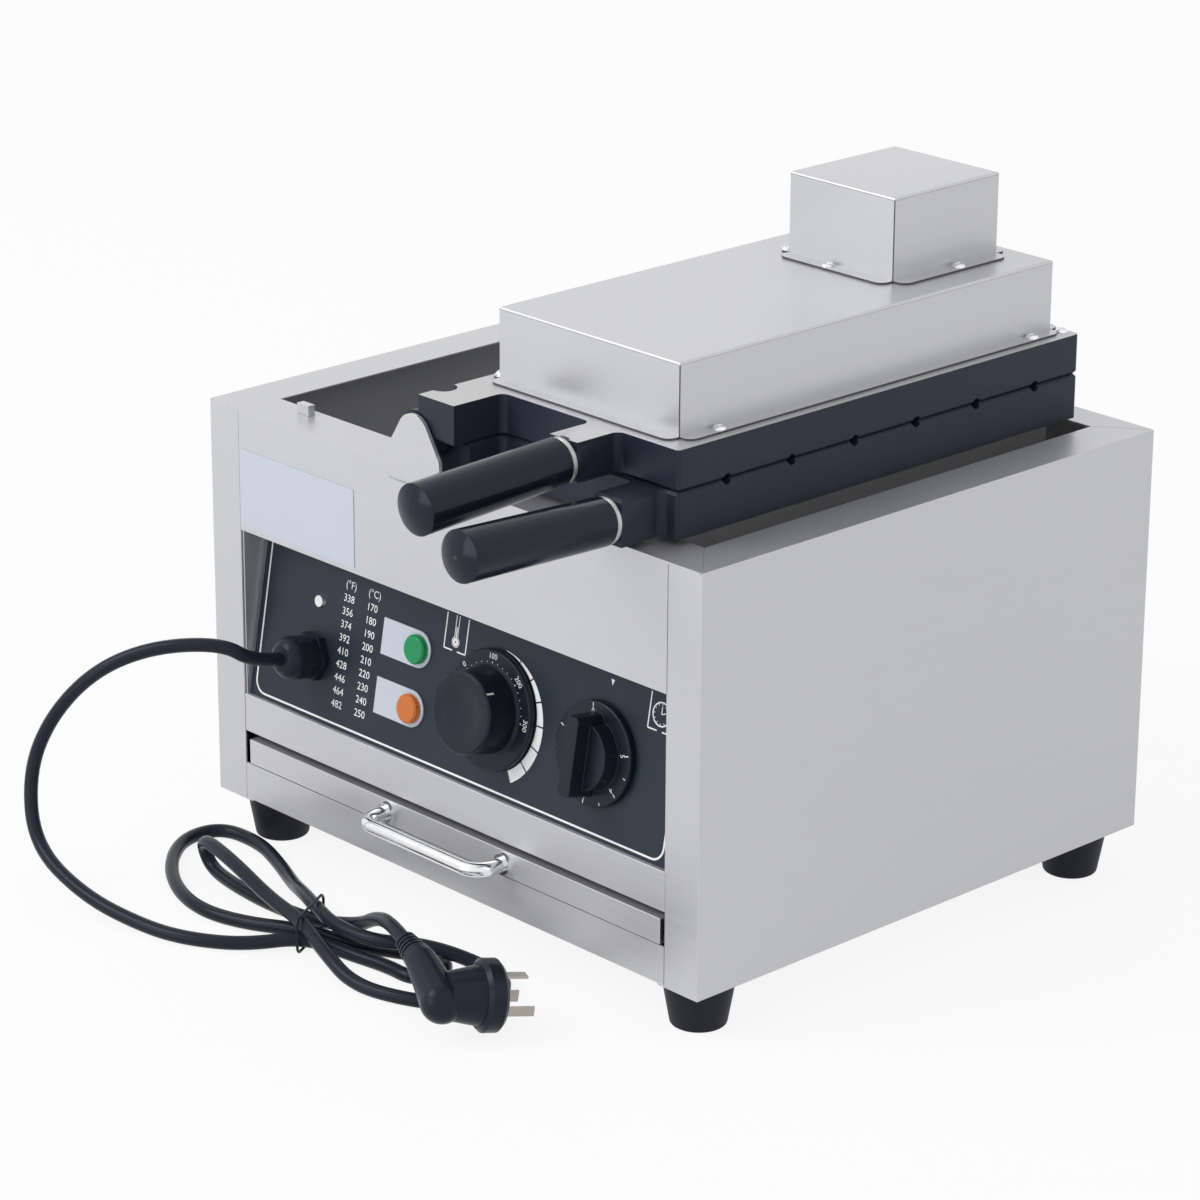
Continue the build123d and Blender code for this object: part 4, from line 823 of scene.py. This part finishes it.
def screw_places(which):
    """Where one mould's cover and wiring box screws stand, read from the CAD screws' own mesh."""
    mesh = frame["nodes"][f"{which}_cover_screws"].data
    tidy = bmesh.new()
    tidy.from_mesh(mesh)
    bmesh.ops.remove_doubles(tidy, verts=tidy.verts, dist=SAME_POINT)
    places, seen = [], set()
    for first in tidy.verts:
        if first.index in seen:
            continue
        island, reach = [], [first]
        seen.add(first.index)
        while reach:
            vert = reach.pop()
            island.append(vert.co.copy())
            for edge in vert.link_edges:
                other = edge.other_vert(vert)
                if other.index not in seen:
                    seen.add(other.index)
                    reach.append(other)
        low = Vector(min(c[i] for c in island) for i in range(3))
        high = Vector(max(c[i] for c in island) for i in range(3))
        seat = low.z if which == "upper" else high.z
        places.append(((low.x + high.x) / 2, (low.y + high.y) / 2, seat))
    tidy.free()
    return places


class WAFFLE_OT_screws(bpy.types.Operator):
    """Set the pan head screws that hold the covers and wiring boxes"""

    bl_idname = "waffle.screws"
    bl_label = "Cover screws"

    def execute(self, context):
        for which in ("upper", "lower"):
            name = f"{which}_screw_heads"
            places = screw_places(which)
            if which == "upper":
                low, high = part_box("upper_cover")
                places.append((high.x - BOLT_INSET_X, high.y - BOLT_INSET_Y, low.z))
            points = bpy.data.meshes.new(name)
            points.from_pydata(places, [], [])
            piece = bpy.data.objects.new(name, points)
            context.scene.collection.objects.link(piece)
            tree, radius = screw_tree(f"{which}_screw_tree", FINISHES["bright"])
            modifier = piece.modifiers.new("screws", "NODES")
            modifier.node_group = tree
            modifier[radius] = context.scene.waffle_sizes.screw
            graph = context.evaluated_depsgraph_get()
            finished = bpy.data.meshes.new_from_object(piece.evaluated_get(graph))
            piece.modifiers.clear()
            piece.data = finished
            for face in piece.data.polygons:
                face.use_smooth = True
            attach(piece, f"{which}_mould")
            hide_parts(f"{which}_cover_screws")
        return {"FINISHED"}


def area_lamp(name, place, target, size, power):
    """A soft studio lamp."""
    lamp = bpy.data.lights.new(name, "AREA")
    lamp.size = size
    lamp.energy = power
    holder = bpy.data.objects.new(name, lamp)
    holder.location = place
    holder.rotation_euler = (Vector(target) - Vector(place)).to_track_quat("-Z", "Y").to_euler()
    bpy.context.scene.collection.objects.link(holder)


# The stage in metres and radians, its lamps as name, place, target, size and power
CAMERA_PLACE = Vector((1.69391, -1.59409, 1.02254))
CAMERA_TARGET = Vector((0.11535, -0.11014, 0.228))
CAMERA_ROLL = 0.00495
CAMERA_LENS = 132.28
CAMERA_SENSOR = 36.0
FLOOR_HALF = 12.0
LAMPS = (
    ("key_lamp", (-1.6, -2.4, 2.6), (0.0, 0.0, 0.2), 1.8, 52.0),
    ("low_lamp", (-0.5, -2.6, 0.5), (0.0, 0.0, 0.1), 1.2, 9.0),
    ("side_lamp", (2.6, 0.2, 1.6), (0.0, 0.0, 0.2), 1.6, 4.0),
)
# How much of its own white the floor shows to the camera and in mirrors, then the world's strength
# for every ray and what it gains for the camera and in mirrors
FLOOR_SEEN = 0.87
FLOOR_MIRRORED = 0.8
WORLD_LEVEL = 0.66
WORLD_SEEN = 0.34
WORLD_MIRRORED = 0.4


class WAFFLE_OT_stage(bpy.types.Operator):
    """Set the floor, the soft lamps and the camera"""

    bl_idname = "waffle.stage"
    bl_label = "Stage"

    def execute(self, context):
        scene = context.scene
        lens = bpy.data.cameras.new("camera")
        lens.sensor_width = CAMERA_SENSOR
        lens.lens = CAMERA_LENS
        camera = bpy.data.objects.new("camera", lens)
        aim = (CAMERA_TARGET - CAMERA_PLACE).to_track_quat("-Z", "Y").to_matrix().to_4x4()
        camera.matrix_world = Matrix.Translation(CAMERA_PLACE) @ aim @ Matrix.Rotation(CAMERA_ROLL, 4, "Z")
        scene.collection.objects.link(camera)
        scene.camera = camera

        half = FLOOR_HALF
        floor_mesh = bpy.data.meshes.new("floor")
        floor_mesh.from_pydata(
            [(-half, -half, 0), (half, -half, 0), (half, half, 0), (-half, half, 0)], [], [(0, 1, 2, 3)]
        )
        floor = bpy.data.objects.new("floor", floor_mesh)
        scene.collection.objects.link(floor)
        paper = Finish("floor_paper")
        paper.set(Base_Color=(0.92, 0.92, 0.92, 1.0), Roughness=0.9)
        seen = paper.node("ShaderNodeLightPath", output=0) * FLOOR_SEEN
        mirrored = paper.node("ShaderNodeLightPath", output=3) * FLOOR_MIRRORED
        glow = paper.node("ShaderNodeEmission", Color=(1.0, 1.0, 1.0, 1.0), Strength=1.0)
        blend = paper.node("ShaderNodeMixShader", Fac=seen + mirrored)
        paper.tree.links.new(paper.shader.outputs[0], blend.socket.node.inputs[1])
        paper.tree.links.new(glow.socket, blend.socket.node.inputs[2])
        paper.tree.links.new(blend.socket, paper.tree.nodes["Material Output"].inputs["Surface"])
        floor_mesh.materials.append(paper.material)

        world = bpy.data.worlds.new("studio")
        scene.world = world
        world.use_nodes = True
        sky = world.node_tree
        sky.nodes["Background"].inputs["Color"].default_value = (1.0, 1.0, 1.0, 1.0)
        path = sky.nodes.new("ShaderNodeLightPath")
        mirrored = Sock(sky, path.outputs["Is Glossy Ray"]) * WORLD_MIRRORED
        seen = Sock(sky, path.outputs["Is Camera Ray"]) * WORLD_SEEN
        level = mirrored + seen + WORLD_LEVEL
        sky.links.new(level.socket, sky.nodes["Background"].inputs["Strength"])
        for lamp in LAMPS:
            area_lamp(*lamp)
        scene.view_settings.view_transform = "Standard"
        return {"FINISHED"}


class WAFFLE_PT_panel(bpy.types.Panel):
    bl_idname = "WAFFLE_PT_panel"
    bl_label = "Waffle stick maker"
    bl_space_type = "VIEW_3D"
    bl_region_type = "UI"
    bl_category = "Waffle maker"

    def draw(self, context):
        for group in (context.scene.waffle_colours, context.scene.waffle_sizes):
            for name in group.bl_rna.properties.keys():
                if name not in ("rna_type", "name"):
                    self.layout.prop(group, name)
        for operator in OPERATORS:
            self.layout.operator(operator.bl_idname)


OPERATORS = (
    WAFFLE_OT_stage,
    WAFFLE_OT_finishes,
    WAFFLE_OT_body,
    WAFFLE_OT_cord,
    WAFFLE_OT_panel_print,
    WAFFLE_OT_dials,
    WAFFLE_OT_screws,
)
CLASSES = (WAFFLE_PG_colours, WAFFLE_PG_sizes, *OPERATORS, WAFFLE_PT_panel)


def register():
    for made in CLASSES:
        bpy.utils.register_class(made)
    bpy.types.Scene.waffle_colours = bpy.props.PointerProperty(type=WAFFLE_PG_colours)
    bpy.types.Scene.waffle_sizes = bpy.props.PointerProperty(type=WAFFLE_PG_sizes)


def unregister():
    del bpy.types.Scene.waffle_sizes
    del bpy.types.Scene.waffle_colours
    for made in reversed(CLASSES):
        bpy.utils.unregister_class(made)


def main():
    register()
    for operator in OPERATORS:
        group, name = operator.bl_idname.split(".")
        getattr(getattr(bpy.ops, group), name)()


if __name__ == "__main__":
    main()
